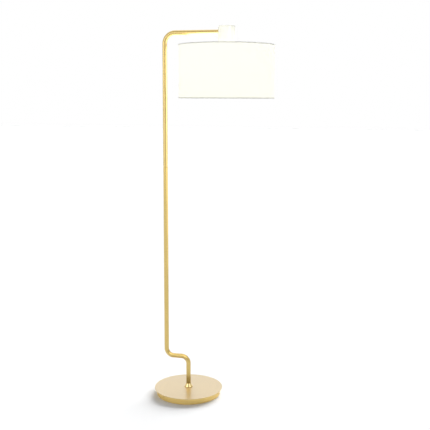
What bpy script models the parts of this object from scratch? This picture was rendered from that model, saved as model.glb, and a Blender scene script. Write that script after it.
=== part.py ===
"""Bent-tube floor lamp: a cranked brass stem on a round weighted base, with a drum shade.

Units are metres, +Z is up and the floor is z = 0. The origin is the middle of the base's
underside. The arm reaches along +X, the cord inlet faces +Y.
"""

import math

import bmesh
import bpy
from mathutils import Vector

# ---------------------------------------------------------------- driving dimensions
GAP = 0.0003  # clearance between pieces that touch
SLIP = 0.0005  # running clearance between pieces that turn or slide
OVERCUT = 0.002  # how far a cutter runs past what it cuts
MERGE = 0.00001  # points closer than this are one point

# base
PLATE_D = 0.300
PLATE_T = 0.003
PLATE_EDGE = 0.0008
BASE_BODY_D = 0.280
BASE_BODY_H = 0.026
SKIRT_LIFT = 0.001
SKIRT_WALL = 0.0012
SKIRT_FLANGE = 0.012
SKIRT_EDGE_R = 0.0025
PAD_T = 0.002
RECESS_R = 0.022
RECESS_DEPTH = 0.0165
CHANNEL_W = 0.010
CHANNEL_H = 0.009
INLET_R = 0.0042
INLET_BORE_R = 0.0032
INLET_LIP_R = 0.0062
INLET_LIP_T = 0.0022
INLET_REACH = 0.006
INLET_EDGE = 0.0008
INLET_TO_FLEX = 0.002

# threaded tube and its fasteners
NIPPLE_R = 0.005
NIPPLE_BORE_R = 0.0038
NUT_ACROSS = 0.015
NUT_T = 0.0045
LOCK_WASHER_R = 0.0085
LOCK_WASHER_T = 0.001
WASHER_R = 0.016
WASHER_T = 0.002
THREAD_SHORT = 0.002

# stem
TUBE_R = 0.010
TUBE_WALL = 0.0012
TUBE_SIDES = 20
BUSH_L = 0.016
FERRULE_R = 0.019
FERRULE_LIP = 0.0007
FERRULE_H = 0.015
FERRULE_FOOT = 0.0015
FERRULE_EDGE = 0.0004
JOG_Z = 0.169
JOG_REACH = 0.100
JOG_BEND_R = 0.032
SEAM_Z = 1.010
ARM_Z = 1.575
ARM_REACH = 0.266
ARM_BEND_R = 0.045
NIPPLE_END = 0.010

# flexible lead inside the stem
FLEX_R = 0.0024
FLEX_BEND_R = 0.006
CORE_R = 0.0011
CORE_BEND_R = 0.002
CORE_STUB = 0.0025

# head
CUP_R = 0.0355
CUP_WALL = 0.0013
CUP_TOP_ABOVE_ARM = 0.025
CUP_OVER_SPIDER = 0.006
CUP_EDGE_R = 0.003
BLOCK_HALF = 0.010
BLOCK_BORE_PAST = 0.005

# lampholder, measured down from the arm's axis
HOLDER_TOP = 0.030
HOLDER_SKIRT_WALL = 0.0049
HOLDER_NECK_R = 0.009
HOLDER_NECK_H = 0.007
HOLDER_CAP_H = 0.024
HOLDER_WALL = 0.002
HOLDER_DOME_H = 0.007
HOLDER_SHOULDER = 0.003
NECK_THREAD_OUT = 0.001
SPIGOT_H = 0.005
SKIRT_L = 0.042
HOLDER_FLANGE = 0.0030
HOLDER_FLANGE_T = 0.0025
INSERT_H = 0.012
SOCKET_WALL = 0.0006
SOCKET_LIFT = 0.001
CLAMP_RING_WALL = 0.0052
CLAMP_RING_H = 0.0070
TERMINAL_R = 0.0018
TERMINAL_OFFSET = 0.0075
TERMINAL_HEAD_T = 0.0017
STRIP_T = 0.0005
STRIP_W = 0.006
STRIP_REACH = 0.011
SIDE_STRIP_L = 0.007
SIDE_STRIP_INSET = 0.001

# bulb
BULB_CAP_R = 0.0132
BULB_CAP_L = 0.0250
BULB_CAP_WALL = 0.0005
BULB_CAP_SHOULDER = 0.0015
BULB_CAP_SHOULDER_H = 0.002
BULB_CAP_LAP = 0.002
BULB_R = 0.030
BULB_L = 0.110
BULB_WALL = 0.0012
BULB_NECK_DROP = 0.029
HOUSING_WALL = 0.0015
HOUSING_TUCK = 0.004
HOUSING_NECK_H = 0.010
HOUSING_RIM_H = 0.006
HOUSING_FLARE = 0.002
BOARD_T = 0.0013
BUTTON_R = 0.0040
BUTTON_T = 0.0014
INSULATOR_R = 0.0085
INSULATOR_T = 0.0026

# shade
SHADE_R = 0.200
SHADE_TOP_BELOW_ARM = 0.052
SHADE_H = 0.220
COVER_T = 0.0006
LINER_T = 0.0006
RING_WIRE_R = 0.0013
TRIM_T = 0.0005
TRIM_LEG = 0.0045
SPIDER_DROP = 0.029
SPIDER_WIRE_R = 0.0012
SPIDER_LAP = 0.0030
SPIDER_RING_T = 0.0012
SPIDER_FLAT = 0.0145
SPOKE_BEND_R = 0.030
SPOKE_WELD_LAP = 0.0004
SPOKES = 3

# facets
FINE = 60
MEDIUM = 24
SMALL = 16

# ---------------------------------------------------------------- derived places
HEAD_X = ARM_REACH - JOG_REACH
BALLAST_Z0 = PAD_T + GAP
BODY_TOP = SKIRT_LIFT + BASE_BODY_H
PLATE_Z0 = BODY_TOP + GAP
PLATE_TOP = PLATE_Z0 + PLATE_T
STEM_FOOT_Z = PLATE_TOP + GAP
TUBE_INNER_R = TUBE_R - TUBE_WALL
TUBE_CLEAR_R = TUBE_INNER_R * math.cos(math.pi / TUBE_SIDES)
THREAD_HOLE_R = (NIPPLE_R + GAP) / math.cos(math.pi / SMALL)
CUP_TOP = ARM_Z + CUP_TOP_ABOVE_ARM
HOLDER_TOP_Z = ARM_Z - HOLDER_TOP
CAP_RIM_Z = HOLDER_TOP_Z - HOLDER_CAP_H
SKIRT_TOP_Z = CAP_RIM_Z - GAP
SKIRT_BOTTOM_Z = SKIRT_TOP_Z - SKIRT_L
SHADE_TOP_Z = ARM_Z - SHADE_TOP_BELOW_ARM
SPIDER_Z = SHADE_TOP_Z - SPIDER_DROP
CUP_BOTTOM = SPIDER_Z + CUP_OVER_SPIDER
SOCKET_R = BULB_CAP_R + SLIP
SKIRT_IN_R = SOCKET_R + SOCKET_WALL + GAP
HOLDER_R = SKIRT_IN_R + HOLDER_SKIRT_WALL
HOLDER_FLANGE_R = HOLDER_R + HOLDER_FLANGE
CLAMP_RING_R = HOLDER_R + GAP + CLAMP_RING_WALL
SPIDER_WELD_R = max(CLAMP_RING_R, HOLDER_FLANGE_R) + 2 * GAP
SPIDER_RING_R = SPIDER_WELD_R + SPIDER_LAP
BULB_CAP_Z0 = SKIRT_BOTTOM_Z + GAP
BULB_CAP_Z1 = BULB_CAP_Z0 + BULB_CAP_L
BUTTON_Z1 = BULB_CAP_Z1 + INSULATOR_T + BUTTON_T + 2 * GAP
COVER_R = SHADE_R - TRIM_T - GAP
LINER_R = COVER_R - COVER_T - GAP
RING_R = LINER_R - LINER_T - GAP - RING_WIRE_R
SHADE_BOTTOM_Z = SHADE_TOP_Z - SHADE_H

LAMP = bpy.data.collections.new("bent_tube_floor_lamp")
CUTTERS = bpy.data.collections.new("cutters")


# ---------------------------------------------------------------- helpers
def clear_scene():
    for old in list(bpy.data.objects):
        bpy.data.objects.remove(old)
    for collection in (LAMP, CUTTERS):
        bpy.context.scene.collection.children.link(collection)


def finish_material(name, color, roughness, metallic):
    material = bpy.data.materials.new(name)
    material.use_nodes = True
    shader = material.node_tree.nodes["Principled BSDF"]
    shader.inputs["Base Color"].default_value = (*color, 1.0)
    shader.inputs["Roughness"].default_value = roughness
    shader.inputs["Metallic"].default_value = metallic
    return material


def add_object(name, data, parent=None, material=None):
    piece = bpy.data.objects.new(name, data)
    LAMP.objects.link(piece)
    piece.parent = parent
    if material:
        piece.data.materials.append(material)
    return piece


def add_axis(name, location, parent=None):
    """An empty that carries the pieces that share an axis."""
    empty = bpy.data.objects.new(name, None)
    empty.location = location
    empty.parent = parent
    LAMP.objects.link(empty)
    return empty


def arc(centre_r, centre_z, radius, start_deg, end_deg, steps):
    """Points (r, z) of an arc, with both of its ends."""
    points = []
    for i in range(steps + 1):
        angle = math.radians(start_deg + (end_deg - start_deg) * i / steps)
        points.append((centre_r + radius * math.cos(angle), centre_z + radius * math.sin(angle)))
    return points


def turned(name, profile, steps, parent, material):
    """Turns a profile (r, z), which runs down its outer side. It closes on itself or on the axis."""
    mesh = bpy.data.meshes.new(name)
    on_axis = profile[0][0] == 0.0
    count = len(profile)
    edges = [(i, i + 1) for i in range(count - 1)]
    if not on_axis:
        edges.append((count - 1, 0))
    mesh.from_pydata([(r, 0.0, z) for r, z in profile], edges, [])
    piece = add_object(name, mesh, parent, material)
    screw = piece.modifiers.new("turn", "SCREW")
    screw.steps = steps
    screw.render_steps = steps
    screw.use_merge_vertices = True
    screw.merge_threshold = MERGE
    screw.use_smooth_shade = True
    return piece


def ring_profile(r_in, r_out, z_low, z_high):
    return [(r_in, z_high), (r_out, z_high), (r_out, z_low), (r_in, z_low)]


def disc_profile(radius, z_low, z_high):
    return [(0.0, z_high), (radius, z_high), (radius, z_low), (0.0, z_low)]


def wire_ring(name, radius, wire_r, z, parent, material):
    profile = arc(radius, z, wire_r, 90, -270, 6)[:-1]
    return turned(name, profile, FINE, parent, material)


def bent_path(corners, radii, arc_steps=6):
    """Points along straight runs through the corners, each corner rounded to its radius."""
    points = [Vector(corners[0])]
    for before, corner, after, radius in zip(corners, corners[1:], corners[2:], radii):
        corner = Vector(corner)
        incoming = (corner - Vector(before)).normalized()
        outgoing = (Vector(after) - corner).normalized()
        turn = incoming.angle(outgoing)
        setback = radius * math.tan(turn / 2)
        inward = (outgoing - incoming).normalized()
        centre = corner + inward * (radius / math.cos(turn / 2))
        spoke = corner - incoming * setback - centre
        side = spoke.normalized()
        for i in range(arc_steps + 1):
            angle = turn * i / arc_steps
            points.append(centre + side * radius * math.cos(angle) + incoming * radius * math.sin(angle))
    points.append(Vector(corners[-1]))
    return points


def swept_mesh(name, path, radius, sides, capped):
    """The mesh of a round bar or an open tube wall along a path."""
    curve = bpy.data.curves.new(name, "CURVE")
    curve.dimensions = "3D"
    spline = curve.splines.new("POLY")
    spline.points.add(len(path) - 1)
    for point, place in zip(spline.points, path):
        point.co = (*place, 1.0)
    curve.bevel_depth = radius
    curve.bevel_resolution = sides // 2 - 2
    curve.use_fill_caps = capped
    guide = bpy.data.objects.new(name, curve)
    CUTTERS.objects.link(guide)
    bpy.context.view_layer.update()
    evaluated = guide.evaluated_get(bpy.context.evaluated_depsgraph_get())
    mesh = bpy.data.meshes.new_from_object(evaluated)
    bm = bmesh.new()
    bm.from_mesh(mesh)
    bmesh.ops.remove_doubles(bm, verts=bm.verts, dist=MERGE)
    bmesh.ops.recalc_face_normals(bm, faces=bm.faces)
    bm.to_mesh(mesh)
    bm.free()
    mesh.shade_smooth()
    bpy.data.objects.remove(guide)
    return mesh


def bar(name, path, radius, sides, parent, material):
    return add_object(name, swept_mesh(name, path, radius, sides, True), parent, material)


def tube(name, path, parent, material):
    """A stem tube: its outer wall along the path, thickened inwards."""
    piece = add_object(name, swept_mesh(name, path, TUBE_R, TUBE_SIDES, False), parent, material)
    wall = piece.modifiers.new("wall", "SOLIDIFY")
    wall.thickness = TUBE_WALL
    wall.offset = -1.0
    wall.use_even_offset = True
    return piece


def box_mesh(name, low, high):
    mesh = bpy.data.meshes.new(name)
    bm = bmesh.new()
    bmesh.ops.create_cube(bm, size=1.0)
    size = Vector(high) - Vector(low)
    bmesh.ops.scale(bm, vec=size, verts=bm.verts)
    bmesh.ops.translate(bm, vec=Vector(low) + size / 2, verts=bm.verts)
    bm.to_mesh(mesh)
    bm.free()
    return mesh


def rod_mesh(name, start, end, radius, sides):
    """A straight round or many-sided bar between two points."""
    mesh = bpy.data.meshes.new(name)
    bm = bmesh.new()
    run = Vector(end) - Vector(start)
    bmesh.ops.create_cone(
        bm, cap_ends=True, segments=sides, radius1=radius, radius2=radius, depth=run.length
    )
    bmesh.ops.rotate(bm, verts=bm.verts, matrix=run.to_track_quat("Z", "Y").to_matrix())
    bmesh.ops.translate(bm, verts=bm.verts, vec=(Vector(start) + Vector(end)) / 2)
    bm.to_mesh(mesh)
    bm.free()
    return mesh


def cutter(name, mesh, parent=None):
    tool = bpy.data.objects.new(name, mesh)
    CUTTERS.objects.link(tool)
    tool.parent = parent
    tool.hide_render = True
    tool.display_type = "WIRE"
    return tool


def combine(piece, tool, operation):
    modifier = piece.modifiers.new(f"{operation.lower()}_{tool.name}", "BOOLEAN")
    modifier.operation = operation
    modifier.solver = "EXACT"
    modifier.object = tool


def hollow_rod(name, start, end, radius, bore, sides, parent, material):
    """A threaded tube or a bush: a round bar with a bore right through."""
    piece = add_object(name, rod_mesh(name, start, end, radius, sides), parent, material)
    past = (Vector(end) - Vector(start)).normalized() * OVERCUT
    hole = rod_mesh(f"{name}_bore", Vector(start) - past, Vector(end) + past, bore, SMALL)
    combine(piece, cutter(f"{name}_bore", hole, parent), "DIFFERENCE")
    return piece


def hex_nut(name, z_low, parent, material):
    corner_r = NUT_ACROSS / 2 / math.cos(math.pi / 6)
    return hollow_rod(
        name, (0, 0, z_low), (0, 0, z_low + NUT_T), corner_r, THREAD_HOLE_R, 6, parent, material
    )


# ---------------------------------------------------------------- base
def build_base(axis, finishes):
    body_r = BASE_BODY_D / 2
    plate_r = PLATE_D / 2
    inner_r = body_r - SKIRT_WALL
    flange_z = BODY_TOP - SKIRT_WALL
    ballast_r = inner_r - GAP
    ballast_top = flange_z - GAP
    recess_top = BALLAST_Z0 + RECESS_DEPTH

    turned("base_pad", disc_profile(ballast_r, 0.0, PAD_T), FINE, axis, finishes["felt"])

    ballast = turned(
        "base_ballast",
        ring_profile(THREAD_HOLE_R, ballast_r, BALLAST_Z0, ballast_top),
        FINE,
        axis,
        finishes["iron"],
    )
    below = BALLAST_Z0 - OVERCUT
    recess = rod_mesh("recess", (0, 0, below), (0, 0, recess_top), RECESS_R, MEDIUM)
    combine(ballast, cutter("recess", recess, axis), "DIFFERENCE")
    channel = box_mesh(
        "channel",
        (-CHANNEL_W / 2, RECESS_R / 2, below),
        (CHANNEL_W / 2, body_r + OVERCUT, BALLAST_Z0 + CHANNEL_H),
    )
    combine(ballast, cutter("channel", channel, axis), "DIFFERENCE")

    edge = SKIRT_EDGE_R
    skirt_profile = (
        [(inner_r - SKIRT_FLANGE, BODY_TOP)]
        + arc(body_r - edge, BODY_TOP - edge, edge, 90, 0, 3)
        + [(body_r, SKIRT_LIFT), (inner_r, SKIRT_LIFT)]
        + [(inner_r, flange_z), (inner_r - SKIRT_FLANGE, flange_z)]
    )
    skirt = turned("base_skirt", skirt_profile, FINE, axis, finishes["brushed"])
    inlet_z = BALLAST_Z0 + CHANNEL_H / 2
    inlet_hole = rod_mesh(
        "inlet_hole",
        (0, inner_r - OVERCUT, inlet_z),
        (0, body_r + OVERCUT, inlet_z),
        INLET_R + GAP,
        SMALL,
    )
    combine(skirt, cutter("inlet_hole", inlet_hole, axis), "DIFFERENCE")

    # the inlet's lip lies outside the skirt and its barrel goes through it, in one turned piece
    inlet_profile = [
        (INLET_BORE_R, INLET_LIP_T),
        (INLET_LIP_R - INLET_EDGE, INLET_LIP_T),
        (INLET_LIP_R, INLET_LIP_T - INLET_EDGE),
        (INLET_LIP_R, 0.0),
        (INLET_R, 0.0),
        (INLET_R, -INLET_REACH),
        (INLET_BORE_R, -INLET_REACH),
    ]
    inlet = turned("cord_inlet", inlet_profile, SMALL, axis, finishes["black"])
    inlet.location = (0, body_r + GAP, inlet_z)
    inlet.rotation_euler = (-math.pi / 2, 0, 0)

    plate_profile = [
        (THREAD_HOLE_R, PLATE_TOP),
        (plate_r - PLATE_EDGE, PLATE_TOP),
        (plate_r, PLATE_TOP - PLATE_EDGE),
        (plate_r, PLATE_Z0 + PLATE_EDGE),
        (plate_r - PLATE_EDGE, PLATE_Z0),
        (THREAD_HOLE_R, PLATE_Z0),
    ]
    turned("base_plate", plate_profile, FINE, axis, finishes["brushed"])

    # fastening stack in the recess, from the top down
    washer_low = recess_top - GAP - WASHER_T
    lock_low = washer_low - GAP - LOCK_WASHER_T
    nut_low = lock_low - GAP - NUT_T
    washer = ring_profile(THREAD_HOLE_R, WASHER_R, washer_low, washer_low + WASHER_T)
    turned("foot_washer", washer, MEDIUM, axis, finishes["steel"])
    lock = ring_profile(THREAD_HOLE_R, LOCK_WASHER_R, lock_low, lock_low + LOCK_WASHER_T)
    turned("foot_lock_washer", lock, SMALL, axis, finishes["steel"])
    hex_nut("foot_nut", nut_low, axis, finishes["steel"])
    bush_low = STEM_FOOT_Z + GAP
    hollow_rod(
        "foot_nipple",
        (0, 0, nut_low),
        (0, 0, bush_low + BUSH_L),
        NIPPLE_R,
        NIPPLE_BORE_R,
        SMALL,
        axis,
        finishes["steel"],
    )
    hollow_rod(
        "foot_bush",
        (0, 0, bush_low),
        (0, 0, bush_low + BUSH_L),
        TUBE_CLEAR_R - GAP,
        THREAD_HOLE_R,
        SMALL,
        axis,
        finishes["steel"],
    )

    bore = (TUBE_R + GAP) / math.cos(math.pi / MEDIUM)
    ferrule_top = STEM_FOOT_Z + FERRULE_H
    ferrule_profile = [
        (bore, ferrule_top),
        (bore + FERRULE_LIP / 2, ferrule_top),
        (bore + FERRULE_LIP, ferrule_top - FERRULE_LIP / 2),
        (FERRULE_R, STEM_FOOT_Z + FERRULE_FOOT),
        (FERRULE_R - FERRULE_EDGE, STEM_FOOT_Z),
        (bore, STEM_FOOT_Z),
    ]
    turned("ferrule", ferrule_profile, MEDIUM, axis, finishes["polished"])


# ---------------------------------------------------------------- stem
def build_stem(axis, head, finishes):
    post_x = -JOG_REACH
    lower = bent_path(
        [(0, 0, STEM_FOOT_Z), (0, 0, JOG_Z), (post_x, 0, JOG_Z), (post_x, 0, SEAM_Z - GAP / 2)],
        [JOG_BEND_R, JOG_BEND_R],
    )
    tube("stem_lower", lower, axis, finishes["tube"])

    upper = bent_path(
        [(post_x, 0, SEAM_Z + GAP / 2), (post_x, 0, ARM_Z), (HEAD_X - CUP_R / 2, 0, ARM_Z)], [ARM_BEND_R]
    )
    arm = tube("stem_upper", upper, axis, finishes["tube"])
    saddle = rod_mesh(
        "arm_saddle",
        (0, 0, ARM_Z - 2 * TUBE_R),
        (0, 0, ARM_Z + 2 * TUBE_R),
        (CUP_R + GAP) / math.cos(math.pi / FINE),
        FINE,
    )
    combine(arm, cutter("arm_saddle", saddle, head), "DIFFERENCE")

    bush_r = TUBE_CLEAR_R - GAP
    for name, low in (("joiner_bush_lower", SEAM_Z - GAP - BUSH_L), ("joiner_bush_upper", SEAM_Z + GAP)):
        hollow_rod(
            name,
            (post_x, 0, low),
            (post_x, 0, low + BUSH_L),
            bush_r,
            THREAD_HOLE_R,
            SMALL,
            axis,
            finishes["steel"],
        )
    hollow_rod(
        "joiner_nipple",
        (post_x, 0, SEAM_Z - BUSH_L + THREAD_SHORT),
        (post_x, 0, SEAM_Z + BUSH_L - THREAD_SHORT),
        NIPPLE_R,
        NIPPLE_BORE_R,
        SMALL,
        axis,
        finishes["steel"],
    )

    bush_end = HEAD_X - CUP_R - 2 * GAP
    hollow_rod(
        "arm_bush",
        (bush_end - BUSH_L, 0, ARM_Z),
        (bush_end, 0, ARM_Z),
        bush_r,
        THREAD_HOLE_R,
        SMALL,
        axis,
        finishes["steel"],
    )
    hollow_rod(
        "arm_nipple",
        (bush_end - BUSH_L + THREAD_SHORT, 0, ARM_Z),
        (HEAD_X - NIPPLE_END, 0, ARM_Z),
        NIPPLE_R,
        NIPPLE_BORE_R,
        SMALL,
        axis,
        finishes["steel"],
    )

    flex = bent_path(
        [
            (0, BASE_BODY_D / 2 - INLET_REACH - INLET_TO_FLEX, BALLAST_Z0 + CHANNEL_H / 2),
            (0, 0, BALLAST_Z0 + CHANNEL_H / 2),
            (0, 0, JOG_Z),
            (post_x, 0, JOG_Z),
            (post_x, 0, ARM_Z),
            (HEAD_X, 0, ARM_Z),
            (HEAD_X, 0, HOLDER_TOP_Z - HOLDER_NECK_H),
        ],
        [FLEX_BEND_R, JOG_BEND_R, JOG_BEND_R, ARM_BEND_R, FLEX_BEND_R],
        arc_steps=5,
    )
    bar("inner_flex", flex, FLEX_R, 8, axis, finishes["black"])


# ---------------------------------------------------------------- head and lampholder
def build_head(head, finishes):
    edge = CUP_EDGE_R
    inner = CUP_R - CUP_WALL
    cup_profile = (
        [(0.0, CUP_TOP)]
        + arc(CUP_R - edge, CUP_TOP - edge, edge, 90, 0, 3)
        + [(CUP_R, CUP_BOTTOM), (inner, CUP_BOTTOM)]
        + arc(CUP_R - edge, CUP_TOP - edge, edge - CUP_WALL, 0, 90, 2)
        + [(0.0, CUP_TOP - CUP_WALL)]
    )
    cup = turned("head_cup", cup_profile, FINE, head, finishes["ivory"])
    hole_end = -inner + THREAD_HOLE_R
    hole = rod_mesh("cup_hole", (-CUP_R - OVERCUT, 0, ARM_Z), (hole_end, 0, ARM_Z), THREAD_HOLE_R, SMALL)
    combine(cup, cutter("cup_hole", hole, head), "DIFFERENCE")

    half = BLOCK_HALF
    block_mesh = box_mesh("head_block", (-CUP_R, -half, ARM_Z - half), (half, half, ARM_Z + half))
    block = add_object("head_block", block_mesh, head, finishes["steel"])
    saddle = rod_mesh(
        "block_saddle",
        (0, 0, ARM_Z - 2 * half),
        (0, 0, ARM_Z + 2 * half),
        inner * math.cos(math.pi / FINE) - GAP,
        FINE,
    )
    combine(block, cutter("block_saddle", saddle, head), "INTERSECT")
    middle = Vector((0, 0, ARM_Z))
    bores = (
        ("block_bore_arm", Vector((-CUP_R, 0, 0))),
        ("block_bore_drop", Vector((0, 0, -2 * half))),
    )
    for name, run in bores:
        start = middle - run.normalized() * BLOCK_BORE_PAST
        bore = rod_mesh(name, start, middle + run, THREAD_HOLE_R, SMALL)
        combine(block, cutter(name, bore, head), "DIFFERENCE")

    hollow_rod(
        "holder_nipple",
        (0, 0, HOLDER_TOP_Z - HOLDER_NECK_H + NECK_THREAD_OUT),
        (0, 0, ARM_Z - NIPPLE_END),
        NIPPLE_R,
        NIPPLE_BORE_R,
        SMALL,
        head,
        finishes["steel"],
    )
    hex_nut("holder_nut", HOLDER_TOP_Z + GAP, head, finishes["steel"])


def build_lampholder(head, finishes):
    outer = HOLDER_R
    inner = HOLDER_R - HOLDER_WALL
    neck_low = HOLDER_TOP_Z - HOLDER_NECK_H
    dome_low = neck_low - HOLDER_DOME_H
    shoulder = HOLDER_SHOULDER
    inset = shoulder + HOLDER_WALL
    cap_profile = [
        (THREAD_HOLE_R, HOLDER_TOP_Z),
        (HOLDER_NECK_R, HOLDER_TOP_Z),
        (HOLDER_NECK_R, neck_low),
        (outer - shoulder, neck_low - shoulder),
        (outer, dome_low),
        (outer, CAP_RIM_Z),
        (inner, CAP_RIM_Z),
        (inner, dome_low - HOLDER_WALL / 2),
        (outer - inset, neck_low - inset),
        (HOLDER_NECK_R, neck_low - HOLDER_WALL),
        (THREAD_HOLE_R, neck_low - HOLDER_WALL),
    ]
    turned("holder_cap", cap_profile, MEDIUM, head, finishes["white"])

    socket_out = SOCKET_R + SOCKET_WALL
    spigot_r = inner - GAP
    seat_z = SPIDER_Z + SPIDER_RING_T / 2 + GAP
    skirt_profile = [
        (SKIRT_IN_R, SKIRT_TOP_Z + SPIGOT_H),
        (spigot_r, SKIRT_TOP_Z + SPIGOT_H),
        (spigot_r, SKIRT_TOP_Z),
        (outer, SKIRT_TOP_Z),
        (outer, seat_z + HOLDER_FLANGE_T),
        (HOLDER_FLANGE_R, seat_z + HOLDER_FLANGE_T),
        (HOLDER_FLANGE_R, seat_z),
        (outer, seat_z),
        (outer, SKIRT_BOTTOM_Z),
        (SKIRT_IN_R, SKIRT_BOTTOM_Z),
    ]
    turned("holder_skirt", skirt_profile, MEDIUM, head, finishes["white"])

    socket = ring_profile(SOCKET_R, socket_out, SKIRT_BOTTOM_Z + SOCKET_LIFT, BULB_CAP_Z1)
    turned("holder_screw_shell", socket, MEDIUM, head, finishes["polished"])

    clamp_high = SPIDER_Z - SPIDER_RING_T / 2 - GAP
    clamp = ring_profile(outer + GAP, CLAMP_RING_R, clamp_high - CLAMP_RING_H, clamp_high)
    turned("shade_clamp_ring", clamp, MEDIUM, head, finishes["white"])

    # contact strips and their screws under and above the insert
    strip_low = BUTTON_Z1 + GAP
    strip_high = strip_low + STRIP_T
    strip_y = STRIP_W / 2
    insert_low = strip_high + GAP
    insert_high = insert_low + INSERT_H
    insert_r = SKIRT_IN_R - GAP
    insert = disc_profile(insert_r, insert_low, insert_high)
    turned("holder_insert", insert, MEDIUM, head, finishes["porcelain"])
    side_x = -SOCKET_R + SIDE_STRIP_INSET
    for name, x_low, x_high in (
        ("centre_contact", -strip_y, STRIP_REACH),
        ("side_contact", side_x, side_x + SIDE_STRIP_L),
    ):
        strip = box_mesh(name, (x_low, -strip_y, strip_low), (x_high, strip_y, strip_high))
        add_object(name, strip, head, finishes["polished"])

    screw_low = insert_high + GAP
    screw_high = screw_low + TERMINAL_HEAD_T
    for name, x in (("terminal_screw_live", TERMINAL_OFFSET), ("terminal_screw_neutral", -TERMINAL_OFFSET)):
        screw = rod_mesh(name, (x, 0, screw_low), (x, 0, screw_high), TERMINAL_R, SMALL)
        add_object(name, screw, head, finishes["steel"])
    core_top = HOLDER_TOP_Z - HOLDER_NECK_H - GAP
    for name, side in (("core_live", 1), ("core_neutral", -1)):
        x = side * (CORE_R + GAP)
        reach = side * TERMINAL_OFFSET
        core = bent_path(
            [(x, 0, core_top), (x, 0, core_top - CORE_STUB), (reach, 0, screw_high + 2 * CORE_R)],
            [CORE_BEND_R],
            arc_steps=3,
        )
        bar(name, core, CORE_R, 8, head, finishes["core"])


# ---------------------------------------------------------------- bulb
def build_bulb(tip_axis, bulb_axis, finishes):
    button_low = BUTTON_Z1 - BUTTON_T
    turned("bulb_contact", disc_profile(BUTTON_R, button_low, BUTTON_Z1), SMALL, tip_axis, finishes["steel"])
    insulator_low = BULB_CAP_Z1 + GAP
    insulator = [
        (0.0, insulator_low + INSULATOR_T),
        (BUTTON_R + GAP, insulator_low + INSULATOR_T),
        (INSULATOR_R, insulator_low),
        (0.0, insulator_low),
    ]
    turned("bulb_insulator", insulator, SMALL, tip_axis, finishes["black"])

    wall = BULB_CAP_WALL
    mouth_r = INSULATOR_R - BULB_CAP_LAP
    shoulder_r = BULB_CAP_R - BULB_CAP_SHOULDER
    shoulder_z = BULB_CAP_Z1 - BULB_CAP_SHOULDER_H
    cap_profile = [
        (mouth_r, BULB_CAP_Z1),
        (shoulder_r, BULB_CAP_Z1),
        (BULB_CAP_R, shoulder_z),
        (BULB_CAP_R, BULB_CAP_Z0),
        (BULB_CAP_R - wall, BULB_CAP_Z0),
        (BULB_CAP_R - wall, shoulder_z - wall / 2),
        (shoulder_r - wall / 2, BULB_CAP_Z1 - wall),
        (mouth_r, BULB_CAP_Z1 - wall),
    ]
    turned("bulb_cap", cap_profile, MEDIUM, bulb_axis, finishes["steel"])

    tip_z = BUTTON_Z1 - BULB_L
    centre_z = tip_z + BULB_R
    join_z = BULB_CAP_Z0 - BULB_NECK_DROP
    open_angle = math.degrees(math.asin((join_z - centre_z) / BULB_R))
    join_r = BULB_R * math.cos(math.radians(open_angle))
    inner_r = BULB_R - BULB_WALL
    globe_profile = (
        [(0.0, tip_z + BULB_WALL)]
        + arc(0.0, centre_z, inner_r, -90, open_angle, 8)[1:]
        + arc(0.0, centre_z, BULB_R, open_angle, -90, 8)[:-1]
        + [(0.0, tip_z)]
    )
    turned("bulb_globe", globe_profile, MEDIUM, bulb_axis, finishes["opal"])

    # the housing tucks into the cap, then flares down to the globe
    shell_r = BULB_CAP_R - wall - GAP
    tuck_top = BULB_CAP_Z0 + HOUSING_TUCK
    neck_low = BULB_CAP_Z0 - HOUSING_NECK_H
    housing_profile = [
        (shell_r - HOUSING_WALL, tuck_top),
        (shell_r, tuck_top),
        (shell_r, BULB_CAP_Z0 - GAP),
        (BULB_CAP_R, BULB_CAP_Z0 - GAP),
        (BULB_CAP_R + HOUSING_WALL, neck_low),
        (join_r - HOUSING_FLARE, join_z + HOUSING_RIM_H),
        (join_r, join_z + GAP),
        (join_r - 2 * HOUSING_WALL, join_z + GAP),
        (BULB_CAP_R - HOUSING_WALL, neck_low),
        (shell_r - HOUSING_WALL, BULB_CAP_Z0 - HOUSING_WALL),
    ]
    turned("bulb_housing", housing_profile, MEDIUM, bulb_axis, finishes["white"])
    board_r = (join_r - BULB_WALL - 2 * GAP) * math.cos(math.pi / MEDIUM)
    board = disc_profile(board_r, join_z - GAP - BOARD_T, join_z - GAP)
    turned("bulb_led_board", board, MEDIUM, bulb_axis, finishes["white"])


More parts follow.
